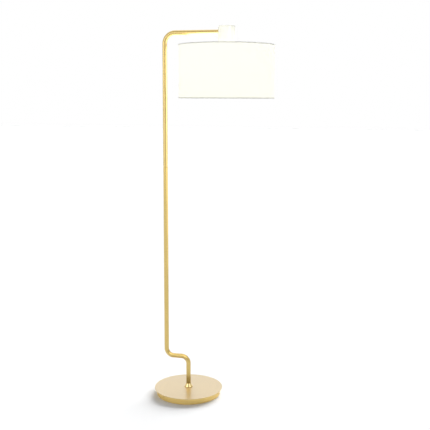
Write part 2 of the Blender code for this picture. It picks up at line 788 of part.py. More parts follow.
# ---------------------------------------------------------------- shade
def build_shade(axis, finishes):
    top = SHADE_TOP_Z - TRIM_T - GAP
    bottom = SHADE_BOTTOM_Z + TRIM_T + GAP
    cover = ring_profile(COVER_R - COVER_T, COVER_R, bottom, top)
    turned("shade_cover", cover, FINE, axis, finishes["fabric"])
    liner = ring_profile(LINER_R - LINER_T, LINER_R, bottom, top)
    turned("shade_liner", liner, FINE, axis, finishes["liner"])

    ring_top_z = top - RING_WIRE_R
    ring_bottom_z = bottom + RING_WIRE_R
    wire_ring("shade_top_ring", RING_R, RING_WIRE_R, ring_top_z, axis, finishes["wire"])
    wire_ring("shade_bottom_ring", RING_R, RING_WIRE_R, ring_bottom_z, axis, finishes["wire"])

    # the trim folds over the edge: a leg outside the cover, a web, and a short leg inside the ring
    trim_in = RING_R - RING_WIRE_R - GAP
    for name, edge, sign in (("shade_trim_top", SHADE_TOP_Z, 1), ("shade_trim_bottom", SHADE_BOTTOM_Z, -1)):
        web = edge - sign * TRIM_T
        outer_end = edge - sign * TRIM_LEG
        inner_end = web - sign * (RING_WIRE_R + GAP)
        profile = [
            (trim_in - TRIM_T, edge),
            (SHADE_R, edge),
            (SHADE_R, outer_end),
            (SHADE_R - TRIM_T, outer_end),
            (SHADE_R - TRIM_T, web),
            (trim_in, web),
            (trim_in, inner_end),
            (trim_in - TRIM_T, inner_end),
        ]
        if sign < 0:
            profile.reverse()
        turned(name, profile, FINE, axis, finishes["trim"])

    hole_r = HOLDER_R + SLIP
    low = SPIDER_Z - SPIDER_RING_T / 2
    centre = ring_profile(hole_r, SPIDER_RING_R, low, low + SPIDER_RING_T)
    spider = turned("shade_spider", centre, MEDIUM, axis, finishes["wire"])
    weld_r = RING_R - RING_WIRE_R - GAP - SPIDER_WIRE_R
    weld_z = ring_top_z - RING_WIRE_R - SPIDER_WIRE_R + SPOKE_WELD_LAP
    for i in range(SPOKES):
        turn = 2 * math.pi * i / SPOKES + math.pi / 2
        direction = Vector((math.cos(turn), math.sin(turn), 0))
        lift = Vector((0, 0, 1))
        spoke = bent_path(
            [
                direction * SPIDER_WELD_R + lift * SPIDER_Z,
                direction * (CUP_R + SPIDER_FLAT) + lift * SPIDER_Z,
                direction * weld_r + lift * weld_z,
            ],
            [SPOKE_BEND_R],
            arc_steps=3,
        )
        name = f"spoke_{i + 1}"
        wire = swept_mesh(name, spoke, SPIDER_WIRE_R, 8, True)
        combine(spider, cutter(name, wire, axis), "UNION")


# ---------------------------------------------------------------- whole lamp
def build_lamp():
    clear_scene()
    finishes = {
        "brushed": finish_material("brushed_brass", (0.80, 0.66, 0.42), 0.35, 1.0),
        "tube": finish_material("satin_brass", (0.76, 0.58, 0.28), 0.28, 1.0),
        "polished": finish_material("polished_brass", (0.83, 0.64, 0.30), 0.08, 1.0),
        "steel": finish_material("zinc_steel", (0.62, 0.62, 0.64), 0.40, 1.0),
        "iron": finish_material("cast_iron", (0.12, 0.12, 0.12), 0.70, 0.6),
        "felt": finish_material("black_felt", (0.03, 0.03, 0.03), 0.95, 0.0),
        "black": finish_material("black_plastic", (0.02, 0.02, 0.02), 0.45, 0.0),
        "ivory": finish_material("ivory_lacquer", (0.90, 0.88, 0.76), 0.10, 0.0),
        "white": finish_material("white_plastic", (0.82, 0.82, 0.80), 0.40, 0.0),
        "porcelain": finish_material("porcelain", (0.85, 0.84, 0.80), 0.25, 0.0),
        "core": finish_material("core_insulation", (0.25, 0.12, 0.06), 0.50, 0.0),
        "opal": finish_material("opal_diffuser", (0.92, 0.91, 0.86), 0.30, 0.0),
        "fabric": finish_material("ivory_fabric", (0.90, 0.88, 0.78), 0.90, 0.0),
        "liner": finish_material("white_liner", (0.90, 0.89, 0.84), 0.60, 0.0),
        "trim": finish_material("ivory_tape", (0.70, 0.69, 0.62), 0.85, 0.0),
        "wire": finish_material("white_wire", (0.80, 0.80, 0.78), 0.40, 0.0),
    }
    stand = add_axis("stand_axis", (0, 0, 0))
    head = add_axis("head_axis", (HEAD_X, 0, 0), stand)
    shade = add_axis("shade_axis", (0, 0, 0), head)
    tip = add_axis("bulb_travel_axis", (0, 0, 0), head)
    bulb = add_axis("bulb_screw_axis", (0, 0, 0), tip)
    build_base(stand, finishes)
    build_stem(stand, head, finishes)
    build_head(head, finishes)
    build_lampholder(head, finishes)
    build_bulb(tip, bulb, finishes)
    build_shade(shade, finishes)


build_lamp()
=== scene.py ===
"""Fine pieces and finishes of a cranked brass floor lamp with a drum shade.

Units are metres, +Z is up and the floor is z = 0. The stem stands on the origin and its arm
reaches along +X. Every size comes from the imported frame, the settings or the named sizes below.
"""

import math

import bmesh
import bpy
from bpy.props import FloatProperty, FloatVectorProperty, IntProperty, PointerProperty
from mathutils import Matrix, Vector


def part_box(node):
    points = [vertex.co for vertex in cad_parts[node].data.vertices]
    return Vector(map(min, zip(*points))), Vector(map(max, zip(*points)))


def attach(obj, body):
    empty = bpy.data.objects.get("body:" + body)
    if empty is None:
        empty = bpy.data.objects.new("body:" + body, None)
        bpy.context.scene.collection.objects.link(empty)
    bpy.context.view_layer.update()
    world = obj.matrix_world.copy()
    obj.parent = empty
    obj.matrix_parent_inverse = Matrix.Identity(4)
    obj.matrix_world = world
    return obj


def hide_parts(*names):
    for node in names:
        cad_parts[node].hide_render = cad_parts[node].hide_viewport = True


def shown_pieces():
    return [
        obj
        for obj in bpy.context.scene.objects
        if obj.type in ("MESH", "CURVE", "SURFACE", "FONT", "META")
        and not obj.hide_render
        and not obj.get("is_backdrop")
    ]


bl_info = {
    "name": "Cranked Floor Lamp",
    "version": (1, 0, 0),
    "blender": (4, 5, 0),
    "location": "3D View > Sidebar > Floor Lamp",
    "description": "Makes the pieces and finishes of a cranked floor lamp with a drum shade",
    "category": "Object",
}

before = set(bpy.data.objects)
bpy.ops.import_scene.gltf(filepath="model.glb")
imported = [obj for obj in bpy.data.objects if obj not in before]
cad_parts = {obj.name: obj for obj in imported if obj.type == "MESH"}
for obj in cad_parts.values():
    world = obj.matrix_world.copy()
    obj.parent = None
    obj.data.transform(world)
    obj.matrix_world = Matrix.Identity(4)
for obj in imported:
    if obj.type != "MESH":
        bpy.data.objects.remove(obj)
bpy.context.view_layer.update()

# ---------------------------------------------------------------- sizes that several pieces share
# Sides of turned and swept pieces, and rows along a thread
TURNS_FINE = 192
TURNS_SMALL = 96
TURNS_TUBE = 64
TURNS_DRILL = 48
TURNS_WIRE = 16
TURNS_CLOTH = 1440
THREAD_ROWS = 72
SHARP_FROM = math.radians(38)
# Gap between pieces that touch, and edge roundings from crisp to soft
WALL_GAP = 0.0003
CRISP = 0.0001
FINE = 0.0002
BROKEN = 0.0003
CUT = 0.0004
EASED = 0.0006
SOFT = 0.0008
# Depths of surface grain
POLISH_DEPTH = 0.000001
BRUSH_DEPTH = 0.000004
LACQUER_SKIN = 0.000004
MOULD_SKIN = 0.000006
LAMINATE_SKIN = 0.00001
METAL_SKIN = 0.00002
WEAVE_DEPTH = 0.00008
FELT_NAP = 0.0003
# Base
INLET_BARREL_R = 0.0042
INLET_BORE_R = 0.0032
DRILL_RUN = 0.01
FERRULE_LIP = 0.0008
FERRULE_FOOT = 0.0015
# Lampholder
HOLDER_WALL = 0.002
NECK_R = 0.009
NECK_H = 0.007
DOME_H = 0.007
DOME_INSET = 0.003
FLANGE_T = 0.0025
RING_THREAD = 0.0006
RIB_DEPTH = 0.0006
SHELL_T = 0.0006
CONTACT_BRASS = (0.78, 0.60, 0.28)
# Bulb
CAP_WALL = 0.0005
THREAD_FADE = 0.002
GLOBE_WALL = 0.0012
HOUSING_WALL = 0.0015
# Shade
LAP_RISE = 0.00024
LAP_EDGE = 0.0012
TAPE_T = 0.0005
TAPE_THREADS = 1900.0
RING_WIRE_R = 0.0013
SPIDER_T = 0.0012
SPOKES = 3
SPOKE_LAP = 0.0030
SPOKE_FLAT = 0.0145
# Stage
CAMERA_LENS = 64.33
CAMERA_PLACE = (0.8204, -3.1815, 1.3052)
CAMERA_YAW = 0.21703
CAMERA_DIP = 0.15113
CAMERA_TILT = 0.00294
TOWARD_BACK = Vector((-math.sin(CAMERA_YAW), math.cos(CAMERA_YAW), 0.0))
FLOOR_HALF = 30.0
SHADOW_TINT = (0.95, 0.975, 1.0)
GLOW_GAP = 0.006


# ---------------------------------------------------------------- places read from the frame
def low_z(node):
    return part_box(node)[0].z


def high_z(node):
    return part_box(node)[1].z


def outer_r(node):
    low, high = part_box(node)
    return (high.x - low.x) / 2


def extent(node):
    """A round node's lowest and highest level and its radius."""
    return low_z(node), high_z(node), outer_r(node)


HEAD_X = sum(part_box("head_cup")[i].x for i in (0, 1)) / 2
HEAD_Z = sum(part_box("arm_bush")[i].z for i in (0, 1)) / 2
POST_X = sum(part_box("joiner_nipple")[i].x for i in (0, 1)) / 2
TUBE_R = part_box("stem_lower")[1].y
SEAM_LOW = high_z("stem_lower")
SEAM_HIGH = low_z("stem_upper")
THREAD_HOLE_R = outer_r("holder_nipple") + WALL_GAP


# ---------------------------------------------------------------- settings
def colour(name, description, default):
    return FloatVectorProperty(
        name=name, description=description, default=default, min=0.0, max=1.0, size=3, subtype="COLOR"
    )


def length(name, description, default, low, high):
    return FloatProperty(
        name=name,
        description=description,
        default=default,
        min=low,
        max=high,
        precision=5,
        unit="LENGTH",
    )


def angle(name, description, default, low, high):
    return FloatProperty(
        name=name,
        description=description,
        default=math.radians(default),
        min=math.radians(low),
        max=math.radians(high),
        subtype="ANGLE",
    )


def amount(name, description, default, low, high):
    return FloatProperty(name=name, description=description, default=default, min=low, max=high)


def count(name, description, default, low, high):
    return IntProperty(name=name, description=description, default=default, min=low, max=high)


class LampBaseSettings(bpy.types.PropertyGroup):
    plate_colour: colour("Plate colour", "Brushed brass of the base plate", (0.73, 0.575, 0.335))
    # The side's brass is set brighter than the stem's. This is painted light that stands in for light on
    # the base's side.
    side_colour_painted_bright: colour("Side colour", "Brushed brass of the base's side", (0.80, 0.595, 0.215))
    ferrule_colour: colour("Ferrule colour", "Polished brass of the ferrule", (0.84, 0.63, 0.27))
    plate_edge: length("Plate edge", "Radius of the plate's rounded rim", 0.0008, 0.0001, 0.0014)
    side_edge: length("Side edge", "Radius of the side's upper edge", 0.0025, 0.0005, 0.006)
    side_wall: length("Side wall", "Sheet thickness of the base's side", 0.0012, 0.0005, 0.003)
    flange_width: length("Flange width", "Width of the side's turned-in top", 0.012, 0.004, 0.03)
    brush_lines: amount("Brush lines", "Brush lines in a metre across the grain", 2600.0, 100.0, 8000.0)


class LampStemSettings(bpy.types.PropertyGroup):
    brass_colour: colour("Stem colour", "Satin brass of the two tubes", (0.62, 0.455, 0.155))
    tube_wall: length("Tube wall", "Wall thickness of the tubes", 0.0012, 0.0005, 0.003)
    jog_height: length("Jog height", "Height of the level run of the jog", 0.169, 0.1, 0.3)
    jog_bend: length("Jog bend", "Radius of the two bends of the jog", 0.032, 0.02, 0.06)
    arm_bend: length("Arm bend", "Radius of the bend from post to arm", 0.045, 0.025, 0.1)
    end_edge: length("End edge", "Rounding of the tube ends at the seam", 0.0003, 0.0001, 0.0005)


class LampHeadSettings(bpy.types.PropertyGroup):
    lacquer_colour: colour("Cup colour", "Ivory lacquer of the cup", (0.90, 0.895, 0.80))
    cup_edge: length("Cup edge", "Radius of the cup's upper edge", 0.003, 0.001, 0.008)
    cup_wall: length("Cup wall", "Sheet thickness of the cup", 0.0013, 0.0006, 0.003)
    ring_ribs: count("Ring ribs", "Grip ribs around the shade's clamp ring", 36, 8, 72)
    ring_pitch: length(
        "Ring thread pitch", "Pitch of the lampholder's outer thread", 0.0020, 0.001, 0.004
    )


class LampBulbSettings(bpy.types.PropertyGroup):
    glow_colour: colour("Bulb glow", "Colour of the lit opal globe", (1.0, 0.93, 0.78))
    glow: amount("Bulb brightness", "Emission strength of the opal globe", 6.0, 0.0, 50.0)
    globe_radius: length("Globe radius", "Outer radius of the opal globe", 0.030, 0.02, 0.04)
    thread_pitch: length(
        "Cap thread pitch", "Pitch of the screw cap, as its joint turns it", 0.003629, 0.002, 0.006
    )
    thread_depth: length("Cap thread depth", "Depth of the rolled thread", 0.0007, 0.0002, 0.0012)


class LampShadeSettings(bpy.types.PropertyGroup):
    cloth_colour: colour("Cloth colour", "Ivory cloth of the shade", (0.70, 0.69, 0.62))
    cloth_glow: colour("Cloth glow", "Light that comes through the cloth", (1.0, 0.99, 0.93))
    cloth_lit: amount("Cloth brightness", "Emission strength of the lit cloth", 0.62, 0.0, 10.0)
    liner_lit: amount("Liner brightness", "Emission strength of the lit liner", 0.11, 0.0, 10.0)
    threads: count("Threads round", "Warp threads around the shade", 1560, 200, 4000)
    lap_width: length("Lap width", "Width of the glued lap at the cloth's back", 0.012, 0.004, 0.03)
    cloth_t: length("Cloth thickness", "Thickness of the cloth", 0.00035, 0.0002, 0.0006)
    wire_r: length("Spoke radius", "Radius of the spider's spokes", 0.0012, 0.0008, 0.003)
    spoke_bend: length("Spoke bend", "Radius of the spokes' upward bend", 0.030, 0.01, 0.06)


class LampStageSettings(bpy.types.PropertyGroup):
    floor_colour: colour("Floor colour", "Plain pale floor", (0.88, 0.88, 0.88))
    floor_light: amount("Floor light", "How bright the open floor is, 1 being white", 1.06, 0.2, 3.0)
    key_angle: angle("Key softness", "Angular size of the key light", 58, 0, 180)
    key_height: angle("Key height", "Key light above the horizon", 23, 5, 85)
    ambient: amount("Ambient", "Soft light from all round on floor and lamp", 0.36, 0.0, 2.0)
    shadow_lift: amount("Shadow lift", "Share of the floor's light under the shadow", 0.06, 0.0, 0.9)
    fill: amount("Fill", "Soft light from front and back on the cup", 0.34, 0.0, 4.0)
    ceiling: amount("Ceiling", "Light on the lamp's upward faces", 0.5, 0.0, 4.0)
    surround: amount("Surround", "Brightness of the studio in reflections", 1.0, 0.0, 4.0)
    surround_front: amount("Front", "Brightness in reflections of the studio's front", 0.42, 0.0, 4.0)
    overhead: amount("Overhead", "Extra brightness in reflections of its ceiling", 0.7, 0.0, 4.0)


# ---------------------------------------------------------------- mesh helpers
def fillet(corners, closed=True, steps=5):
    """Rounds an outline of (r, z, radius) corners. Gives (r, z, edge), edge being 1 on a rounding."""
    outline = []
    count = len(corners)
    for i, (r, z, radius) in enumerate(corners):
        here = Vector((r, z))
        at_end = not closed and i in (0, count - 1)
        if radius <= 0.0 or at_end:
            outline.append((r, z, 0.0))
            continue
        to_last = Vector(corners[i - 1][:2]) - here
        to_next = Vector(corners[(i + 1) % count][:2]) - here
        half = to_last.angle(to_next) / 2
        setback = min(radius / math.tan(half), 0.45 * to_last.length, 0.45 * to_next.length)
        radius = setback * math.tan(half)
        last_way, next_way = to_last.normalized(), to_next.normalized()
        centre = here + (last_way + next_way).normalized() * (radius / math.sin(half))
        first = here + last_way * setback - centre
        turn = first.angle_signed(here + next_way * setback - centre)
        hold = min(0.5 * setback, 0.3 * (to_last.length - setback), 0.3 * (to_next.length - setback))
        outline.append((*(here + last_way * (setback + hold)), 0.0))
        for k in range(steps + 1):
            spoke = first.copy()
            spoke.rotate(Matrix.Rotation(-turn * k / steps, 2))
            outline.append((*(centre + spoke), 1.0))
        outline.append((*(here + next_way * (setback + hold)), 0.0))
    return outline


def skin(name, rings, stations, marks, girth, closed):
    """Joins rings of points into one skin with an unrolled map and an edge mark on each point.

    A ring of one point is a pole. stations are the rings' distances along the skin.
    """
    bm = bmesh.new()
    unrolled = bm.loops.layers.uv.new("unrolled")
    edge_mark = bm.verts.layers.float.new("edge")
    rows = []
    for points, mark in zip(rings, marks):
        row = [bm.verts.new(p) for p in points]
        for vert in row:
            vert[edge_mark] = mark
        rows.append(row)
    pairs = [(i, i + 1, stations[i], stations[i + 1]) for i in range(len(rows) - 1)]
    if closed:
        first, last = Vector(rings[0][0]), Vector(rings[-1][0])
        pairs.append((len(rows) - 1, 0, stations[-1], stations[-1] + (first - last).length))
    for a, b, start, end in pairs:
        count = max(len(rows[a]), len(rows[b]))
        for j in range(count):
            k = (j + 1) % count
            left, right = girth * j / count, girth * (j + 1) / count
            corners = [
                (rows[a][j % len(rows[a])], left, start),
                (rows[a][k % len(rows[a])], right, start),
                (rows[b][k % len(rows[b])], right, end),
                (rows[b][j % len(rows[b])], left, end),
            ]
            if len(rows[a]) == 1:
                del corners[1]
            elif len(rows[b]) == 1:
                del corners[2]
            face = bm.faces.new([corner[0] for corner in corners])
            for loop, (_, u, v) in zip(face.loops, corners):
                loop[unrolled].uv = (u, v)
    bmesh.ops.recalc_face_normals(bm, faces=bm.faces)
    mesh = bpy.data.meshes.new(name)
    bm.to_mesh(mesh)
    bm.free()
    mesh.shade_smooth()
    mesh.set_sharp_from_angle(angle=SHARP_FROM)
    piece = bpy.data.objects.new(name, mesh)
    bpy.context.scene.collection.objects.link(piece)
    return piece


def turned(name, outline, x=0.0, segments=TURNS_FINE, closed=True, reshape=None):
    """Turns an outline of (r, z, edge) about the upright axis at x.

    reshape(r, z, angle) may give each point another radius, as for threads and ribs.
    """
    rings, stations, marks = [], [], []
    travelled = 0.0
    before = None
    for r, z, edge in outline:
        if before:
            travelled += math.hypot(r - before[0], z - before[1])
        before = (r, z)
        stations.append(travelled)
        marks.append(edge)
        if r <= 0.0:
            rings.append([Vector((x, 0.0, z))])
            continue
        ring = []
        for j in range(segments):
            angle = 2 * math.pi * j / segments
            reach = reshape(r, z, angle) if reshape else r
            ring.append(Vector((x + reach * math.cos(angle), reach * math.sin(angle), z)))
        rings.append(ring)
    girth = 2 * math.pi * max(r for r, _, _ in outline)
    return skin(name, rings, stations, marks, girth, closed)


def bent_path(corners, radii, steps=24):
    """Points along straight runs through the corners, each corner rounded to its radius."""
    points = [Vector(corners[0])]
    for before, corner, after, radius in zip(corners, corners[1:], corners[2:], radii):
        corner = Vector(corner)
        incoming = (corner - Vector(before)).normalized()
        outgoing = (Vector(after) - corner).normalized()
        turn = incoming.angle(outgoing)
        setback = radius * math.tan(turn / 2)
        centre = corner + (outgoing - incoming).normalized() * (radius / math.cos(turn / 2))
        side = (corner - incoming * setback - centre).normalized()
        for i in range(steps + 1):
            angle = turn * i / steps
            points.append(centre + radius * (side * math.cos(angle) + incoming * math.sin(angle)))
    points.append(Vector(corners[-1]))
    return points


def ring_round(centre, tangent, across, radius, sides):
    """A ring of points round a path, across being a fixed direction square to the path."""
    upward = tangent.cross(across).normalized()
    turns = [2 * math.pi * j / sides for j in range(sides)]
    return [centre + radius * (math.cos(a) * upward + math.sin(a) * across) for a in turns]


def swept(name, path, across, radius, sides, bore=None, end_edge=0.0, shape_end=None):
    """Sweeps a round bar, or a tube if it has a bore radius, along a flat path.

    shape_end(point) may move the points of the last end, as where a tube is coped to a cup.
    """
    runs = [(b - a).normalized() for a, b in zip(path, path[1:])]
    first, last = runs[0], runs[-1]
    tangents = [first] + [(s + t).normalized() for s, t in zip(runs, runs[1:])] + [last]
    e = end_edge
    walk = [(path[0], first, radius - e, 1.0), (path[0] + first * e, first, radius, 1.0)]
    walk += [(p, t, radius, 0.0) for p, t in zip(path[1:-1], tangents[1:-1])]
    walk += [(path[-1] - last * e, last, radius, 1.0), (path[-1], last, radius - e, 1.0)]
    ends = {len(walk) - 2, len(walk) - 1}
    if bore:
        ends |= {len(walk), len(walk) + 1}
        walk += [(path[-1], last, bore + e, 1.0), (path[-1] - last * e, last, bore, 1.0)]
        walk += [(p, t, bore, 0.0) for p, t in zip(path[-2:0:-1], tangents[-2:0:-1])]
        walk += [(path[0] + first * e, first, bore, 1.0), (path[0], first, bore + e, 1.0)]
    rings, stations, marks = [], [], []
    travelled = 0.0
    for i, (centre, tangent, r, mark) in enumerate(walk):
        if i:
            travelled += (centre - walk[i - 1][0]).length + abs(r - walk[i - 1][2])
        ring = ring_round(centre, tangent, across, r, sides)
        if shape_end and i in ends:
            ring = [shape_end(p) for p in ring]
        rings.append(ring)
        stations.append(travelled)
        marks.append(mark)
    if not bore:
        rings = [[path[0]]] + rings + [[path[-1]]]
        stations = [-radius] + stations + [travelled + radius]
        marks = [0.0] + marks + [0.0]
    return skin(name, rings, stations, marks, 2 * math.pi * radius, bool(bore))


def combine(piece, tool, operation):
    """Cuts or joins a tool mesh with a piece for good, and drops the tool."""
    modifier = piece.modifiers.new(operation.lower(), "BOOLEAN")
    modifier.operation = operation
    modifier.solver = "EXACT"
    modifier.object = tool
    bpy.context.view_layer.update()
    evaluated = piece.evaluated_get(bpy.context.evaluated_depsgraph_get())
    mesh = bpy.data.meshes.new_from_object(evaluated)
    piece.modifiers.clear()
    worn_out = piece.data
    piece.data = mesh
    bpy.data.meshes.remove(worn_out)
    mesh.name = piece.name
    bpy.data.objects.remove(tool)


def drill(piece, start, end, radius):
    """Drills a round hole through a piece."""
    run = Vector(end) - Vector(start)
    mesh = bpy.data.meshes.new("drill")
    bm = bmesh.new()
    bmesh.ops.create_cone(
        bm, cap_ends=True, segments=TURNS_DRILL, radius1=radius, radius2=radius, depth=run.length
    )
    bmesh.ops.rotate(bm, verts=bm.verts, matrix=run.to_track_quat("Z", "Y").to_matrix())
    bmesh.ops.translate(bm, verts=bm.verts, vec=(Vector(start) + Vector(end)) / 2)
    bm.to_mesh(mesh)
    bm.free()
    tool = bpy.data.objects.new("drill", mesh)
    bpy.context.scene.collection.objects.link(tool)
    combine(piece, tool, "DIFFERENCE")


def fit_out(piece, body, node, finish):
    """Gives a piece its finish and puts it on its body in place of its frame node."""
    piece.data.materials.clear()
    piece.data.materials.append(finish)
    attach(piece, body)
    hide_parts(node)
    return piece


def screw_wave(z, angle, pitch):
    """From 0 to 1 along a right-hand thread of that pitch."""
    return 0.5 + 0.5 * math.cos(2 * math.pi * z / pitch - angle)


# ---------------------------------------------------------------- node helpers
def put(tree, kind, values=None, **settings):
    """Adds a node. values fill its inputs by name or number, with a number or another socket."""
    node = tree.nodes.new(kind)
    for key, value in settings.items():
        setattr(node, key, value)
    for key, value in (values or {}).items():
        if isinstance(value, bpy.types.NodeSocket):
            tree.links.new(value, node.inputs[key])
        else:
            node.inputs[key].default_value = value
    return node


def calc(tree, operation, *values):
    return put(tree, "ShaderNodeMath", dict(enumerate(values)), operation=operation).outputs[0]


def span(tree, value, from_low, from_high, to_low, to_high):
    """Maps a value from one span to another and holds it there."""
    values = {"Value": value, 1: from_low, 2: from_high, 3: to_low, 4: to_high}
    return put(tree, "ShaderNodeMapRange", values, clamp=True).outputs["Result"]


def blend(tree, factor, first, second):
    """Mixes two colours by a factor."""
    node = put(tree, "ShaderNodeMix", data_type="RGBA", blend_type="MIX")
    for socket, value in zip((node.inputs[0], node.inputs[6], node.inputs[7]), (factor, first, second)):
        if isinstance(value, bpy.types.NodeSocket):
            tree.links.new(value, socket)
        elif socket.type == "RGBA":
            socket.default_value = (*value, 1.0)
        else:
            socket.default_value = value
    return node.outputs[2]


def new_noise(tree, place, scale, detail, **others):
    values = {"Vector": place, "Scale": scale, "Detail": detail, **others}
    return put(tree, "ShaderNodeTexNoise", values).outputs["Fac"]


def new_group(name, inputs, outputs):
    """An empty node group. inputs gives each number's default, and None for a place."""
    tree = bpy.data.node_groups.new(name, "ShaderNodeTree")
    for label, default in inputs.items():
        kind = "NodeSocketVector" if default is None else "NodeSocketFloat"
        socket = tree.interface.new_socket(name=label, in_out="INPUT", socket_type=kind)
        if default is not None:
            socket.default_value = default
    for label in outputs:
        tree.interface.new_socket(name=label, in_out="OUTPUT", socket_type="NodeSocketFloat")
    return tree, put(tree, "NodeGroupInput").outputs, put(tree, "NodeGroupOutput")


EFFECTS = {}


def shared(make):
    """Lists a maker of a node group, which is called the first time that its effect is used."""
    EFFECTS[make.__name__] = make
    return make


def effect(tree, name, values):
    """Places a shared effect in a material and gives its outputs."""
    group = bpy.data.node_groups.get(name) or EFFECTS[name](name)
    return put(tree, "ShaderNodeGroup", values, node_tree=group).outputs


@shared
def brushed_grain(name):
    """Fine lines of one brushing direction. Across runs square to them, in metres."""
    inputs = {"Place": None, "Across": 0.0, "Lines": 2000.0, "Run": 14.0}
    tree, given, out = new_group(name, inputs, ["Tone", "Height"])
    parts = put(tree, "ShaderNodeSeparateXYZ", {0: given["Place"]}).outputs
    along = [calc(tree, "MULTIPLY", parts[i], given["Run"]) for i in (0, 1)]
    tones = []
    for share in (1.0, 0.21):
        lines = calc(tree, "MULTIPLY", given["Lines"], share)
        across = calc(tree, "MULTIPLY", given["Across"], lines)
        place = put(tree, "ShaderNodeCombineXYZ", {0: along[0], 1: along[1], 2: across}).outputs[0]
        tones.append(new_noise(tree, place, 1.0, 2.0))
    fine = calc(tree, "MULTIPLY", tones[0], 0.6)
    tone = calc(tree, "ADD", fine, calc(tree, "MULTIPLY", tones[1], 0.4))
    tree.links.new(tone, out.inputs["Tone"])
    tree.links.new(tones[0], out.inputs["Height"])
    return tree


@shared
def edge_wear(name):
    """A broken mask on the rounded edges, where hands and cloths rub them bright."""
    inputs = {"Place": None, "Edge": 0.0, "Grain": 90.0, "Amount": 0.5}
    tree, given, out = new_group(name, inputs, ["Mask"])
    noise = new_noise(tree, given["Place"], given["Grain"], 4.0)
    reach = calc(tree, "SUBTRACT", 1.0, given["Amount"])
    broken = span(tree, noise, reach, calc(tree, "ADD", reach, 0.2), 0.0, 1.0)
    tree.links.new(calc(tree, "MULTIPLY", broken, given["Edge"]), out.inputs["Mask"])
    return tree


@shared
def fine_speckle(name):
    """Soft specks in two sizes, for lacquer, casting skin, plastic and dust."""
    tree, given, out = new_group(name, {"Place": None, "Scale": 400.0}, ["Tone", "Height"])
    small = new_noise(tree, given["Place"], given["Scale"], 3.0)
    broad = new_noise(tree, given["Place"], calc(tree, "MULTIPLY", given["Scale"], 0.06), 2.0)
    tone = calc(tree, "MULTIPLY", calc(tree, "ADD", small, broad), 0.5)
    tree.links.new(tone, out.inputs["Tone"])
    tree.links.new(small, out.inputs["Height"])
    return tree


@shared
def plain_weave(name):
    """A plain weave on an unrolled map in metres, with threads that vary in thickness."""
    inputs = {"Unrolled": None, "Warp": 1250.0, "Weft": 1250.0}
    tree, given, out = new_group(name, inputs, ["Tone", "Height"])
    parts = put(tree, "ShaderNodeSeparateXYZ", {0: given["Unrolled"]}).outputs
    warp = calc(tree, "MULTIPLY", parts[0], given["Warp"])
    weft = calc(tree, "MULTIPLY", parts[1], given["Weft"])
    rounds, cells = [], []
    for run in (warp, weft):
        rounds.append(calc(tree, "SINE", calc(tree, "MULTIPLY", calc(tree, "FRACT", run), math.pi)))
        cells.append(calc(tree, "FLOOR", run))
    over = calc(tree, "FLOORED_MODULO", calc(tree, "ADD", *cells), 2.0)
    under = calc(tree, "SUBTRACT", 1.0, over)
    warp_top = calc(tree, "MULTIPLY", rounds[0], calc(tree, "SQRT", rounds[1]))
    weft_top = calc(tree, "MULTIPLY", rounds[1], calc(tree, "SQRT", rounds[0]))
    tops = (calc(tree, "MULTIPLY", warp_top, over), calc(tree, "MULTIPLY", weft_top, under))
    height = calc(tree, "ADD", *tops)
    slubs = []
    for cell, run in ((cells[0], weft), (cells[1], warp)):
        place = put(tree, "ShaderNodeCombineXYZ", {0: cell, 1: calc(tree, "MULTIPLY", run, 0.012)})
        slubs.append(new_noise(tree, place.outputs[0], 0.73, 1.0))
    slub = calc(tree, "MULTIPLY", calc(tree, "ADD", *slubs), 0.5)
    tone = calc(tree, "ADD", calc(tree, "MULTIPLY", height, 0.35), calc(tree, "MULTIPLY", slub, 0.65))
    tree.links.new(tone, out.inputs["Tone"])
    tree.links.new(height, out.inputs["Height"])
    return tree


# ---------------------------------------------------------------- finishes
def new_finish(name, **values):
    """A material with one Principled shader, whose plain values are set by name."""
    finish = bpy.data.materials.new(name)
    finish.use_nodes = True
    tree = finish.node_tree
    shader = tree.nodes["Principled BSDF"]
    for key, value in values.items():
        shader.inputs[key.replace("_", " ")].default_value = value
    return finish, tree, shader


def unrolled_map(tree):
    return put(tree, "ShaderNodeUVMap", uv_map="unrolled").outputs["UV"]


def edge_attribute(tree):
    return put(tree, "ShaderNodeAttribute", attribute_name="edge").outputs["Fac"]


def object_place(tree):
    return put(tree, "ShaderNodeTexCoord").outputs["Object"]


def object_height(tree):
    return put(tree, "ShaderNodeSeparateXYZ", {0: object_place(tree)}).outputs["Z"]


def raise_bumps(tree, shader, height, distance):
    """Feeds a height in metres to the shader's normal."""
    bump = put(tree, "ShaderNodeBump", {"Height": height, "Distance": distance, "Strength": 1.0})
    tree.links.new(bump.outputs["Normal"], shader.inputs["Normal"])


def shades_of(colour, *factors):
    return [tuple(min(1.0, c * f) for c in colour) for f in factors]


def tinted(colour, tint):
    return tuple(c * f for c, f in zip(colour, tint))


def two_tone(tree, tone, dark, light, low=0.35, high=0.65):
    """Goes from a dark to a light colour as a tone goes from low to high."""
    return blend(tree, span(tree, tone, low, high, 0.0, 1.0), dark, light)


def turn_grooves(tree, shader, rotation, **tangent):
    """Stretches a shader's highlights along or across a tangent."""
    grooves = put(tree, "ShaderNodeTangent", **tangent)
    tree.links.new(grooves.outputs[0], shader.inputs["Tangent"])
    shader.inputs["Anisotropic Rotation"].default_value = rotation


